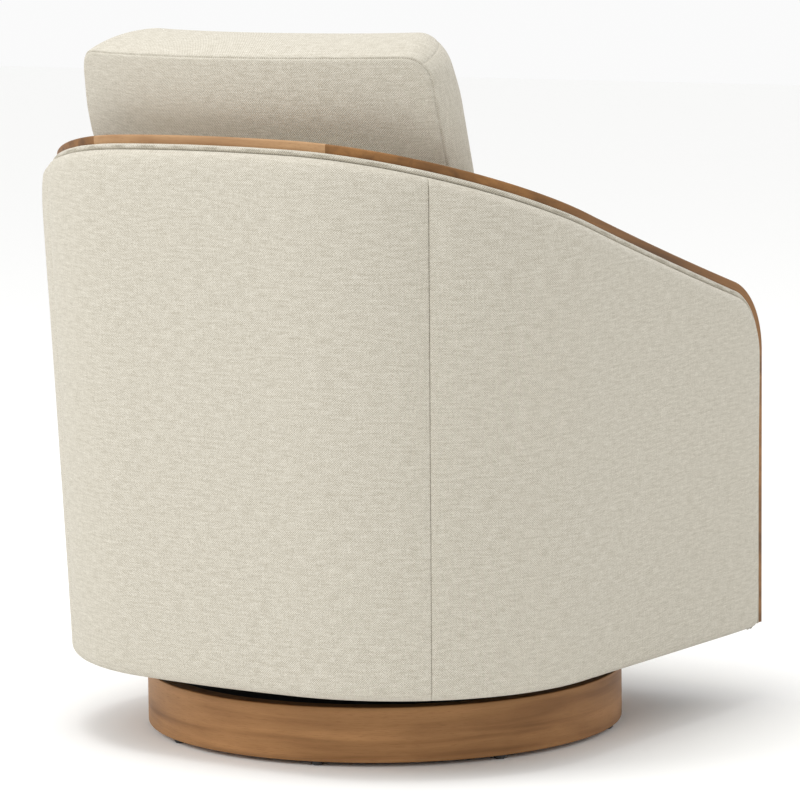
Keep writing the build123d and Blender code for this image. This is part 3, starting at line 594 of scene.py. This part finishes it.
# The wadding swells the covers, less near the rim, the seams and the arm fronts. The cloth is
# drawn in to the corner seams and to the arm fronts, and is faintly uneven all over.
cover_wave = 0.35 * mm
pucker = 0.35 * mm
broad_waves, small_waves, pucker_waves = (9, 7), (31, 27), (95, 95)
tuck_depth = 1.5 * mm
tuck_reach = 0.7 * mm
front_pull = 15 * mm
front_reach = 26 * mm
puff = 8 * mm
puff_top_reach = 16 * mm
puff_seam_reach = 22 * mm
cover_edge_inset = 19 * mm
cover_thickness = 2.4 * mm
merge_gap = 0.02 * mm
shoulder_steps = 7
bottom_steps = 5
wall_rows = 56
back_columns = 90
side_columns = 48
arm_columns = 24
# How far the mesh columns that crowd towards a corner seam lie from it.
seam_columns = [0, 0.25 * mm, 0.6 * mm, 1.1 * mm, 1.8 * mm, 3 * mm, 5 * mm, 8 * mm]


def rounding(radius, steps):
    """Points round an edge, from its side to its face: each has its drop and its inset."""
    turns = [pi / 2 * step / steps for step in range(steps + 1)]
    return [(radius * (1 - sin(turn)), radius * (1 - cos(turn))) for turn in turns]


foot = rounding(bottom_round, bottom_steps)[1:]
cover_under = [(shell_low, cover_edge_inset)] + [(shell_low + drop, curl) for drop, curl in reversed(foot)]
cover_shoulder = [(welt_depth + drop, curl) for drop, curl in rounding(shoulder_round, shoulder_steps)]
cover_shoulder.append((welt_depth, cover_edge_inset))


def wave(across, up, rates, seed):
    """Smooth noise from -1 to 1 on a cloth; rates are its waves per metre across and up it."""
    return noise.noise(Vector((across * rates[0], up * rates[1], seed)))


def padding(way, height, gap):
    """How far the wadding pushes a cover outwards, at a gap from its corner seam."""
    broad = wave(way, height, broad_waves, 3.1)
    small = wave(way, height, small_waves, 8.4)
    rim = rim_point(abs(way), welt_depth, 0).z
    share = min(max((height - shell_low) / (rim - shell_low), 0), 1)
    front = max(front_way(min(height, split_height(0)), 0, 0) - abs(way), 0)
    swell = puff * share ** 1.4 * (1 - exp(-max(rim - height, 0) / puff_top_reach))
    swell *= (1 - exp(-gap / puff_seam_reach)) * (1 - exp(-front / (2 * front_reach)))
    edge = pucker * wave(way, height, pucker_waves, 0.2) * exp(-max(rim - height, 0) / puff_top_reach)
    pulled = front_pull * exp(-front / front_reach) + tuck_depth * exp(-gap / tuck_reach)
    return swell + cover_wave * (broad + 0.45 * small) + edge - pulled


back_edge = [seam_way - gap for gap in seam_columns]
back_middle = spaced(-back_edge[-1], back_edge[-1], back_columns)[1:-1]
back_ways = sorted([-way for way in back_edge] + back_middle + back_edge)
side_edge = [seam_way + gap for gap in seam_columns]
side_ways = side_edge + spaced(side_edge[-1], arm_start, side_columns)[1:]
for side, sign, ways, arm_count in (("back", 1, back_ways, 0), ("left", 1, side_ways, arm_columns),
                                    ("right", -1, side_ways, arm_columns)):
    mesh = panel_mesh(sign, lambda i, height: ways[i], len(ways), arm_count, cover_under,
                      shell_low + bottom_round, 0, cover_shoulder,
                      lambda way, height, i: padding(way, height, abs(seam_way - abs(way))))
    face_outwards(mesh, lambda point: point - Vector((0, 0, 0.3)))
    panel = make_piece(f"outer_{side}_linen", mesh, linen, "chair", f"outer_{side}_cover")
    add_wadding(panel, cover_thickness)

# ---- Rim welt -------------------------------------------------------------------------------
# A cord covered in the same linen, stapled along the frame's edge, that closes the outer covers
# under the wood: up one arm's front, round its corner, along the rim and down the other arm.
welt_radius = 3.25 * mm
welt_centre_depth = 13.75 * mm
welt_centre_inset = 11.4 * mm
welt_leg_inset = 15 * mm
welt_foot = shell_low + 2 * mm
welt_unevenness = 0.04
welt_sides = 12
leg_steps, arm_steps, back_steps = 60, 40, 200
# On the cloth map a side of the cord is 1.7 mm wide, and the legs lie 0.3 m past the rest.
welt_map_side = 1.7 * mm
welt_leg_shift = 0.3

welt_marks = [("front", step / leg_steps) for step in range(leg_steps + 1)]
welt_marks += [("rim", 1 - step / arm_steps) for step in range(1, arm_steps + 1)]
welt_marks += [("way", arm_start * (1 - step / back_steps)) for step in range(1, 2 * back_steps + 1)]
welt_marks += [("rim", -step / arm_steps) for step in range(1, arm_steps + 1)]
welt_marks += [("front", -1 + step / leg_steps) for step in range(leg_steps + 1)]


def welt_place(i, j):
    """Point on the cord, which is round across its run."""
    kind, value = welt_marks[i]
    turn = 2 * pi * j / welt_sides
    swell = welt_radius * (1 + welt_unevenness * noise.noise(Vector((i * 0.13, turn, 5.0))))
    depth = welt_centre_depth - swell * sin(turn)
    share = {"front": 1.0, "rim": abs(value), "way": 0.0}[kind]
    inset = welt_centre_inset + (welt_leg_inset - welt_centre_inset) * share - swell * cos(turn)
    if kind == "way":
        point = rim_point(value, depth, inset)
        return point, (value, j * welt_map_side)
    mirrored = i > len(welt_marks) / 2
    point = edge_point(kind, abs(value), welt_foot, depth, inset)
    way = arm_way(point.y, point.z, 0) + (welt_leg_shift if kind == "front" else 0)
    point.x *= -1 if mirrored else 1
    return point, (-way if mirrored else way, j * welt_map_side)


welt_mesh = bmesh.new()
add_grid(welt_mesh, len(welt_marks) - 1, welt_sides, welt_place)
bmesh.ops.remove_doubles(welt_mesh, verts=welt_mesh.verts, dist=merge_gap)
bmesh.ops.holes_fill(welt_mesh, edges=[edge for edge in welt_mesh.edges if edge.is_boundary], sides=0)
bmesh.ops.recalc_face_normals(welt_mesh, faces=welt_mesh.faces)
make_piece("rim_welt_cord", welt_mesh, linen, "chair", "rim_welt")

# ---- Wood rim -------------------------------------------------------------------------------
# Three laminated bent pieces, butted behind the shoulders: one across the back and one along
# each arm and down its front, screwed to the frame from inside.
def arm_grain(material):
    """Distance along the bent arm piece, then two distances across it."""
    place = node(material, "ShaderNodeTexCoord").outputs["Object"]
    axes = node(material, "ShaderNodeSeparateXYZ", Vector=place)
    y = node(material, "ShaderNodeMath", {"operation": "SUBTRACT"}, i0=axes.outputs[1], i1=arm_centre[0])
    z = node(material, "ShaderNodeMath", {"operation": "SUBTRACT"}, i0=axes.outputs[2], i1=arm_centre[1])
    angle = node(material, "ShaderNodeMath", {"operation": "ARCTAN2"}, i0=z, i1=y)
    bent = node(material, "ShaderNodeClamp", Value=angle, Min=rim_start_angle, Max=front_angle)
    arc = node(material, "ShaderNodeMath", {"operation": "MULTIPLY"}, i0=bent, i1=-arm_corner_radius)
    back = node(material, "ShaderNodeMath", {"operation": "MAXIMUM"}, i0=y, i1=0.0)
    leg = node(material, "ShaderNodeMath", {"operation": "MINIMUM"}, i0=z, i1=0.0)
    along = node(material, "ShaderNodeMath", {"operation": "ADD"}, i0=arc, i1=back)
    along = node(material, "ShaderNodeMath", {"operation": "ADD"}, i0=along, i1=leg)
    cosine = node(material, "ShaderNodeMath", {"operation": "COSINE"}, i0=bent)
    sine = node(material, "ShaderNodeMath", {"operation": "SINE"}, i0=bent)
    level = node(material, "ShaderNodeMath", {"operation": "MULTIPLY"}, i0=y, i1=cosine)
    out = node(material, "ShaderNodeMath", {"operation": "MULTIPLY_ADD"}, i0=z, i1=sine, i2=level)
    return node(material, "ShaderNodeCombineXYZ", X=along, Y=out, Z=axes.outputs[0])


# Oak, stained walnut brown under satin lacquer. The back piece is coloured paler than the arms, as painted
# light.
# The arm rails' darker colours are partly painted shade and partly their own grain.
arm_oak, arm_shader = new_material("stained_oak_arm_rail")
stained_veneer(arm_oak, arm_shader, arm_grain(arm_oak), pale="#996c3c", dark="#5f3f20", roughness=0.55)
# Painted highlight: the back rail's pale and dark colours are lifted to stand for the light and sheen from
# above.
back_oak_painted_highlight, back_highlight_shader = new_material("stained_oak_back_rail_painted_highlight")
place = node(back_oak_painted_highlight, "ShaderNodeTexCoord").outputs["Object"]
stained_veneer(back_oak_painted_highlight, back_highlight_shader, place, pale="#c09a70", dark="#8d6641", roughness=0.5)
finish_node("wood_trim_back", back_oak_painted_highlight)
finish_node("wood_trim_arm_left", arm_oak)
finish_node("wood_trim_arm_right", arm_oak)

# ---- Inner arm pads -------------------------------------------------------------------------
# Foam-padded linen on the inside of each arm, from the deck up to the wood, where its edge
# rolls over; it stays clear of the back cushion, which slides down between the two pads.
# The inside back slopes by the recline and is bent round the sitter; back_rest is the point of it
# that the cushion leans on at the height of the wood.
recline = radians(15.6)
back_rest = Vector((0, 268 * mm, 695 * mm))
back_bend = 600 * mm
back_half_width = 238 * mm
back_upwards = Vector((0, sin(recline), cos(recline)))
back_backwards = Vector((0, cos(recline), -sin(recline)))
lean_clearance = 1.7 * mm
side_clearance = 19 * mm
side_angle = atan2(back_half_width, sqrt(back_bend ** 2 - back_half_width ** 2))
pad_inset = 68 * mm
pad_round = 8 * mm
trim_depth = 10.5 * mm
frame_inset = 46 * mm
frame_clearance = 1 * mm
deck_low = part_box("seat_deck")[0].z
pad_crown = 2.5 * mm
pad_edge_reach = 25 * mm
pad_waves = (12, 10)
pad_thickness = 5 * mm
pad_columns = 44
pad_front_columns = 16


def slope_y(x, z, behind):
    """Where a layer of the sloping, bent inside back lies."""
    bulge = back_bend - sqrt(max(back_bend ** 2 - x ** 2, 0))
    return back_rest.y + (z - back_rest.z) * tan(recline) + (behind - bulge) / cos(recline)


def beside_cushion(point):
    """Moves a point of an arm pad sideways, out of the back cushion's way."""
    behind = (point - back_rest).dot(back_backwards)
    least = side_clearance / cos(side_angle) + (back_bend + behind) * tan(side_angle)
    point.x = max(point.x, least)
    return point


def pad_rear_way(height):
    """Way at which an arm pad meets the back cushion's slope, found by halving a range."""
    low, high = back_half * 0.5, arm_start
    for _ in range(30):
        way = (low + high) / 2
        point = beside_cushion(barrel_point(way, height, pad_inset))
        if point.y > slope_y(point.x, height, lean_clearance):
            low = way
        else:
            high = way
    return high


pad_shares = spaced(0, 1, pad_columns)
pad_shoulder = [(trim_depth + drop, pad_inset - curl) for drop, curl in rounding(pad_round, shoulder_steps)]
pad_shoulder.append((trim_depth, frame_inset + frame_clearance))


def pad_way(column, height):
    """Way of a column of an arm pad, spread from the back cushion's slope to the arm's front."""
    rear = pad_rear_way(height)
    return rear + pad_shares[column] * (arm_start - rear)


def pad_lift(way, height, column):
    """The inner pads swell towards the sitter."""
    rim = rim_point(way, trim_depth, pad_inset).z
    edge = min(max(rim - height, 0), max(front_way(height, trim_depth, pad_inset) - way, 0))
    ripple = 1 + 0.3 * wave(way, height, pad_waves, 21.0)
    return -pad_crown * (1 - exp(-edge / pad_edge_reach)) * ripple


for side, sign in (("left", 1), ("right", -1)):
    mesh = panel_mesh(sign, pad_way, len(pad_shares), pad_front_columns, [], deck_low, pad_inset,
                      pad_shoulder, pad_lift, beside_cushion)
    face_outwards(mesh, lambda point: Vector((-point.x, 0, 0.02)))
    pad = make_piece(f"inner_arm_linen_{side}", mesh, linen, "chair", f"inner_arm_pad_{side}")
    add_wadding(pad, pad_thickness)

# ---- Inner back pad -------------------------------------------------------------------------
# The padded, bent inside back that the loose cushion leans on. Its face ends in a roll over the
# top, and its edge is pulled back under the wood.
back_pad_round = 9 * mm
back_pad_columns = 60
face_rows, roll_rows, edge_rows = 40, 6, 4
wood_gap = 0.3 * mm


def slope_side(height, inset):
    """How far sideways the sloping inside back reaches before it meets the arm's frame.

    It is found by halving a range in metres.
    """
    low, high = 0.1, 0.4
    for _ in range(30):
        x = (low + high) / 2
        y = slope_y(x, height, lean_clearance)
        offset = (height - shell_low) * tan(barrel_flare) - inset
        out = hypot(max(x - corner_x, 0), max(y - corner_y, 0)) if y > corner_y else x - corner_x
        if out > barrel_corner_radius + offset:
            high = x
        else:
            low = x
    return low


def wall_y(x, height, inset):
    """How far back the barrel's wall lies at a distance sideways."""
    offset = (height - shell_low) * tan(barrel_flare) - inset
    if abs(x) < (barrel_back_radius + offset) * cos(join_angle):
        return back_centre + sqrt((barrel_back_radius + offset) ** 2 - x ** 2)
    return corner_y + sqrt(max((barrel_corner_radius + offset) ** 2 - (abs(x) - corner_x) ** 2, 0))


def back_pad_place(i, j):
    """Face rows from the deck to the rim, then rows that roll over the top to the frame."""
    share = 2 * i / back_pad_columns - 1
    height = deck_low
    for _ in range(12):
        x = share * slope_side(height, frame_inset + frame_clearance)
        y = slope_y(x, height, lean_clearance)
        top = rim_height(y, trim_depth) - back_pad_round
        height = deck_low + min(j / face_rows, 1) * (top - deck_low)
    point = Vector((x, slope_y(x, height, lean_clearance), height))
    run = height
    if j > face_rows:
        turn = min((j - face_rows) / roll_rows, 1) * pi / 2
        point.y += back_pad_round * (1 - cos(turn))
        point.z += back_pad_round * sin(turn)
        run += back_pad_round * turn
    if j > face_rows + roll_rows:
        level = wall_y(x, height, frame_inset + frame_clearance)
        point.y += (j - face_rows - roll_rows) / edge_rows * max(level - point.y, 0)
        run += point.y
        point.z = rim_height(point.y, trim_depth) - wood_gap
    return point, (x, run)


mesh = bmesh.new()
add_grid(mesh, back_pad_columns, face_rows + roll_rows + edge_rows, back_pad_place)
face_outwards(mesh, lambda point: Vector((0, -1, 0.3)))
pad = make_piece("inner_back_linen", mesh, linen, "chair", "inner_back_pad")
add_wadding(pad, pad_thickness)

# ---- Seat deck ------------------------------------------------------------------------------
# A thin padded platform of the same linen over the webbing, which the seat cushion lies on.
deck_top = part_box("seat_deck")[1].z
deck_recess = 14 * mm
deck_rear_gap = 0.5 * mm
deck_edge_drop = 4 * mm
deck_edge_reach = 6 * mm
deck_thickness = 8 * mm
deck_cells = 48
deck_span = 0.5


def deck_half(y):
    """Half the deck's width, between the arm pads."""
    offset = (deck_top - shell_low) * tan(barrel_flare) - pad_inset
    radius = barrel_corner_radius + offset
    if y > corner_y:
        return corner_x + sqrt(max(radius ** 2 - (y - corner_y) ** 2, 0))
    return corner_x + radius / cos(arm_toe_in) + (y - corner_y) * tan(arm_toe_in)


def deck_place(i, j):
    """Point of the deck's top, which dips towards its edges."""
    across, share = 2 * i / deck_cells - 1, j / deck_cells
    front = front_y(deck_top, deck_recess)
    y = front
    for _ in range(6):
        x = across * deck_half(y)
        y = front + share * (slope_y(x, deck_top, lean_clearance) - deck_rear_gap - front)
    edge = min(1 - abs(across), share, 1 - share) * deck_span
    drop = deck_edge_drop * exp(-edge / deck_edge_reach)
    return Vector((x, y, deck_top - drop)), (x, y)


mesh = bmesh.new()
add_grid(mesh, deck_cells, deck_cells, deck_place)
face_outwards(mesh, lambda point: Vector((0, 0, 1)))
deck = make_piece("seat_deck_linen", mesh, linen, "chair", "seat_deck")
add_wadding(deck, deck_thickness)

# ---- Front panel ----------------------------------------------------------------------------
# The linen panel below the seat, stretched over thin wadding between the two arm fronts. It is
# crowned a little, rolled under at its foot, and its top edge laps the deck.
front_columns, front_rows = 60, 24
front_lap = 2 * mm
front_crown = 2 * mm
front_wave = 0.4 * mm
front_waves = (3, 3)
front_foot_roll = 7 * mm
front_thickness = 4 * mm


def front_place(i, j):
    """Point of the front panel."""
    across, share = 2 * i / front_columns - 1, j / front_rows
    height = shell_low + share * (deck_low + front_lap - shell_low)
    y = front_y(height, deck_recess)
    offset = (height - shell_low) * tan(barrel_flare) - frame_inset
    half = corner_x + (barrel_corner_radius + offset) / cos(arm_toe_in) + (y - corner_y) * tan(arm_toe_in)
    crown = front_crown * (1 - across ** 4) * (1 - exp(-share * 8))
    ripple = front_wave * wave(across, share, front_waves, 31.0)
    roll = front_foot_roll * exp(-share * 22)
    return Vector((across * half, y - crown - ripple + roll, height)), (across * half, height)


mesh = bmesh.new()
add_grid(mesh, front_columns, front_rows, front_place)
face_outwards(mesh, lambda point: Vector((0, -1, 0)))
front = make_piece("front_linen", mesh, linen, "chair", "front_cover")
add_wadding(front, front_thickness)

# ---- Back cushion ---------------------------------------------------------------------------
# A loose box cushion of foam wrapped in fibre: a bent rear panel, a crowned front panel and one
# boxing strip between them, sewn with plain seams. It stands on the seat cushion and leans back.
seam_merge_gap = 0.05 * mm
filling_frames = 20
faint_seam = 0.4


def evened(count):
    """Shares from -1 to 1, closer together towards both ends."""
    even = [2 * step / count - 1 for step in range(count + 1)]
    return [0.82 * share + 0.18 * sin(pi / 2 * share) for share in even]


def sewn_box(counts, spans, shape):
    """Closed mesh of six sewn panels.

    shape(a, b, c) gives the place of a point of a cube from -1 to 1; counts are the cells along
    the three edges, and spans half their lengths on the cloth map.
    """
    mesh = bmesh.new()
    panel = mesh.faces.layers.int.new("panel")
    shares = [evened(count) for count in counts]
    for axis in range(3):
        across, down = [at for at in range(3) if at != axis]
        for end in (-1, 1):
            def place(i, j):
                spot = [0, 0, 0]
                spot[axis] = end
                spot[across], spot[down] = shares[across][i], shares[down][j]
                return shape(*spot), (spot[across] * spans[across], spot[down] * spans[down])
            for face in add_grid(mesh, counts[across], counts[down], place):
                face[panel] = 2 * axis + (end > 0)
    bmesh.ops.remove_doubles(mesh, verts=mesh.verts, dist=seam_merge_gap)
    bmesh.ops.recalc_face_normals(mesh, faces=mesh.faces)
    return mesh


def seams_of(mesh, plain):
    """Edges between two panels, apart from the pairs in plain, which are one piece of cloth."""
    panel = mesh.faces.layers.int["panel"]
    found = []
    for edge in mesh.edges:
        sides = {face[panel] for face in edge.link_faces}
        if len(sides) == 2 and sides not in plain:
            found.append(edge)
    return found


def plump(piece, plain, most):
    """Blows the panels up between their seams, as the filling does, by the distance most at most."""
    mesh = bmesh.new()
    mesh.from_mesh(piece.data)
    held = {vertex.index for edge in seams_of(mesh, plain) for vertex in edge.verts}
    start = [vertex.co.copy() for vertex in mesh.verts]
    mesh.free()
    group = piece.vertex_groups.new(name="seams")
    group.add(sorted(held), 1.0, "REPLACE")
    cloth = piece.modifiers.new("filling", "CLOTH")
    cloth.settings.quality = 6
    cloth.settings.mass = 0.3
    cloth.settings.tension_stiffness = 25
    cloth.settings.compression_stiffness = 25
    cloth.settings.shear_stiffness = 12
    cloth.settings.bending_stiffness = 0.6
    cloth.settings.use_pressure = True
    cloth.settings.uniform_pressure_force = 4
    cloth.settings.vertex_group_mass = "seams"
    cloth.settings.effector_weights.gravity = 0
    cloth.point_cache.frame_start = 1
    cloth.point_cache.frame_end = filling_frames
    for moment in range(1, filling_frames + 1):
        bpy.context.scene.frame_set(moment)
    blown = piece.evaluated_get(bpy.context.evaluated_depsgraph_get()).data
    ends = [vertex.co.copy() for vertex in blown.vertices]
    piece.modifiers.remove(cloth)
    piece.vertex_groups.clear()
    bpy.context.scene.frame_set(1)
    for vertex, first, last in zip(piece.data.vertices, start, ends):
        move = last - first
        vertex.co = first + move * min(1, most / max(move.length, 1e-9))


def sew(piece, plain, faint, width, depth):
    """Presses a narrow groove along every seam, less deep between the pairs of panels in faint."""
    mesh = bmesh.new()
    mesh.from_mesh(piece.data)
    seams = seams_of(mesh, plain)
    along = {vertex for edge in seams for vertex in edge.verts}
    panel = mesh.faces.layers.int["panel"]
    stitches, pulls = [], []
    for vertex in along:
        pressed = faint_seam if {face[panel] for face in vertex.link_faces} in faint else 1.0
        stitches.append(vertex.co.copy())
        pulls.append(-vertex.normal * pressed)
    made = bmesh.ops.bevel(mesh, geom=seams, offset=width, segments=2, profile=0.5, affect="EDGES",
                           material=-1)
    lines = kd_tree(stitches)
    for vertex in made["verts"]:
        if sum(1 for edge in vertex.link_edges if len(edge.link_faces) == 2) >= 3:
            _, index, gap = lines.find(vertex.co)
            if gap < 0.55 * width:
                vertex.co += pulls[index] * depth
    mesh.to_mesh(piece.data)
    mesh.free()
    shade_smooth(piece.data)


def soften(piece):
    """Rounds off the mesh of a cushion."""
    smoother = piece.modifiers.new("smooth", "SUBSURF")
    smoother.levels = smoother.render_levels = 1


def kd_tree(points):
    """Search tree of points, each found by its place in the list."""
    tree = KDTree(len(points))
    for index, point in enumerate(points):
        tree.insert(point, index)
    tree.balance()
    return tree


# Heights of the back cushion are measured up its slope from back_rest, apart from the lowest
# point and those of the spill, which are heights above the floor.
cushion_seam = 244.5 * mm
cushion_top = 80 * mm
cushion_front_top = 71 * mm
cushion_rear_arch = 12 * mm
cushion_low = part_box("back_cushion")[0].z + 0.3 * mm
cushion_corner = 26 * mm
cushion_front_corner = 30 * mm
spill = 12 * mm
spill_low = 638 * mm
spill_high = 668 * mm
spill_fade = (-10 * mm, 60 * mm)
cushion_thickness = 110 * mm
cushion_side_thickness = 84 * mm
cushion_front_crown = 22 * mm
cushion_rear_crown = 4 * mm
rear_crown_rise = (-20 * mm, 25 * mm)
boxing_crown = 9 * mm
boxing_crown_fall = 0.45
boxing_side_crown = 18 * mm
boxing_side_fall = 0.35
boxing_fullness = 4 * mm
cushion_cells = (72, 52, 18)
cushion_spans = (cushion_seam, 170 * mm, 50 * mm)
panel_edge = 0.999


def eased(value, low, high):
    """0 below low and 1 above high, smooth between."""
    share = min(max((value - low) / (high - low), 0), 1)
    return share * share * (3 - 2 * share)


def rounded(x, s, half, top, corner):
    """Moves a point of a square corner of the panel's outline onto an arc."""
    over_x, over_s = abs(x) - (half - corner), s - (top - corner)
    if over_x <= 0 or over_s <= 0:
        return x, s
    turn = max(over_x, over_s) / hypot(over_x, over_s)
    x = (half - corner + over_x * turn) * (1 if x > 0 else -1)
    return x, top - corner + over_s * turn


def back_cushion_shape(a, b, c):
    """Place of a point of the back cushion: a goes across, b up and c from front to back."""
    thickness = cushion_side_thickness + (cushion_thickness - cushion_side_thickness) * (1 - a * a)
    forward = (1 - c) / 2
    depth = forward * thickness
    top = cushion_top - cushion_rear_arch * a * a * (1 - forward)
    top += (cushion_front_top - cushion_top) * forward
    low = (cushion_low - back_rest.z - depth * sin(recline)) / cos(recline)
    s = low + (b + 1) / 2 * (top - low)
    corner = cushion_corner + (cushion_front_corner - cushion_corner) * forward
    x, s = rounded(a * cushion_seam, s, cushion_seam, top, corner)
    if a > 0:
        # On the sitter's left the foam spills outwards just over the wood.
        height = back_rest.z + s * cos(recline)
        over = eased(height, spill_low, spill_high) * (1 - eased(s, *spill_fade))
        x += spill * a ** 4 * over * (1 - forward)
    bulge = 1 - c * c
    if abs(a) > panel_edge or b > panel_edge:
        turn = pi / 2 * min(max((abs(x) - cushion_seam + corner) / corner, 0), 1)
        s += boxing_crown * bulge * cos(turn) * (b > 0) * (1 - boxing_crown_fall * a * a)
        fall = 1 - boxing_side_fall * eased(s, 0, top)
        x += boxing_side_crown * bulge * sin(turn) * (1 if a > 0 else -1) * fall
        depth += boxing_fullness * bulge * sin(turn) * (1 - eased(s, 0, top))
    if c < -panel_edge:
        depth += cushion_front_crown * (1 - a * a) ** 0.6 * max(1 - b * b, 0) ** 0.5
    if c > panel_edge:
        depth -= cushion_rear_crown * (1 - a ** 4) * (1 - abs(b) ** 3) * eased(s, *rear_crown_rise)
    angle = x / back_bend
    radius = back_bend - depth
    behind = radius * cos(angle) - back_bend
    point = back_rest + back_upwards * s + back_backwards * behind
    point.x = radius * sin(angle)
    point.z = max(point.z, cushion_low)
    return point


# The sides and the top, panels 0, 1 and 3, are one boxing strip with faint mitred seams at its
# corners; the bottom is its own panel.
one_strip = [{1, 3}, {0, 3}]
mesh = sewn_box(cushion_cells, cushion_spans, back_cushion_shape)
back = make_piece("back_cushion_linen", mesh, linen, "back", "back_cushion")
plump(back, one_strip, most=5 * mm)
sew(back, [], one_strip, width=1.2 * mm, depth=3.6 * mm)
soften(back)

# ---- Seat cushion ---------------------------------------------------------------------------
# A loose box cushion of the same making, flat below, crowned on top, its rear corners rounded
# to the barrel and its rear edge sloped under the back cushion.
seat_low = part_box("seat_cushion")[0].z + 0.2 * mm
seat_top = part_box("seat_cushion")[1].z
seat_crown = 22 * mm
seat_rise = seat_crown * 0.97
seat_seam = seat_top - seat_crown
seat_front = -341.0 * mm
seat_half_front = 253.0 * mm
seat_half_rear = 254.8 * mm
seat_front_corner = 26 * mm
seat_rear_corner = 118 * mm
seat_seam_shrink = 6 * mm
seat_rear_gap = 4 * mm
seat_top_gap = 0.2 * mm
seat_cells = (68, 68, 18)
seat_spans = (250 * mm, 255 * mm, 57 * mm)


def seat_cushion_shape(a, b, c):
    """Place of a point of the seat cushion: a goes across, b from front to back and c up."""
    shrink = seat_seam_shrink * c * c
    z = seat_low + (c + 1) / 2 * (seat_seam - seat_low)
    half = seat_half_front + (seat_half_rear - seat_half_front) * (b + 1) / 2 - shrink
    corner_rear = slope_y(half, z, -seat_rear_gap)
    rear = corner_rear - shrink
    front = seat_front + shrink
    middle = (front + rear) / 2
    long = (rear - front) / 2
    x, y = a * half, b * long
    if y > 0:
        x, y = rounded(x, y, half, long, seat_rear_corner)
    else:
        x, y = rounded(x, -y, half, long, seat_front_corner)
        y = -y
    y += middle
    y += (slope_y(x, z, -seat_rear_gap) - corner_rear) * max(b, 0) ** 3
    if c > panel_edge:
        z += seat_rise * (1 - abs(a) ** 3) ** 0.8 * (1 - abs(b) ** 3) ** 0.8
    return Vector((x, y, min(z, seat_top - 0.3 * mm)))


# The sides and the front, panels 0, 1 and 2, are one strip, and so are the sides and the rear.
front_strip = [{0, 2}, {1, 2}]
rear_strip = [{0, 3}, {1, 3}]
mesh = sewn_box(seat_cells, seat_spans, seat_cushion_shape)
seat = make_piece("seat_cushion_linen", mesh, linen, "seat", "seat_cushion")
plump(seat, front_strip, most=4 * mm)
for vertex in seat.data.vertices:
    vertex.co.z = min(max(vertex.co.z, seat_low), seat_top - seat_top_gap)
sew(seat, front_strip + rear_strip, [], width=1.1 * mm, depth=3 * mm)
soften(seat)
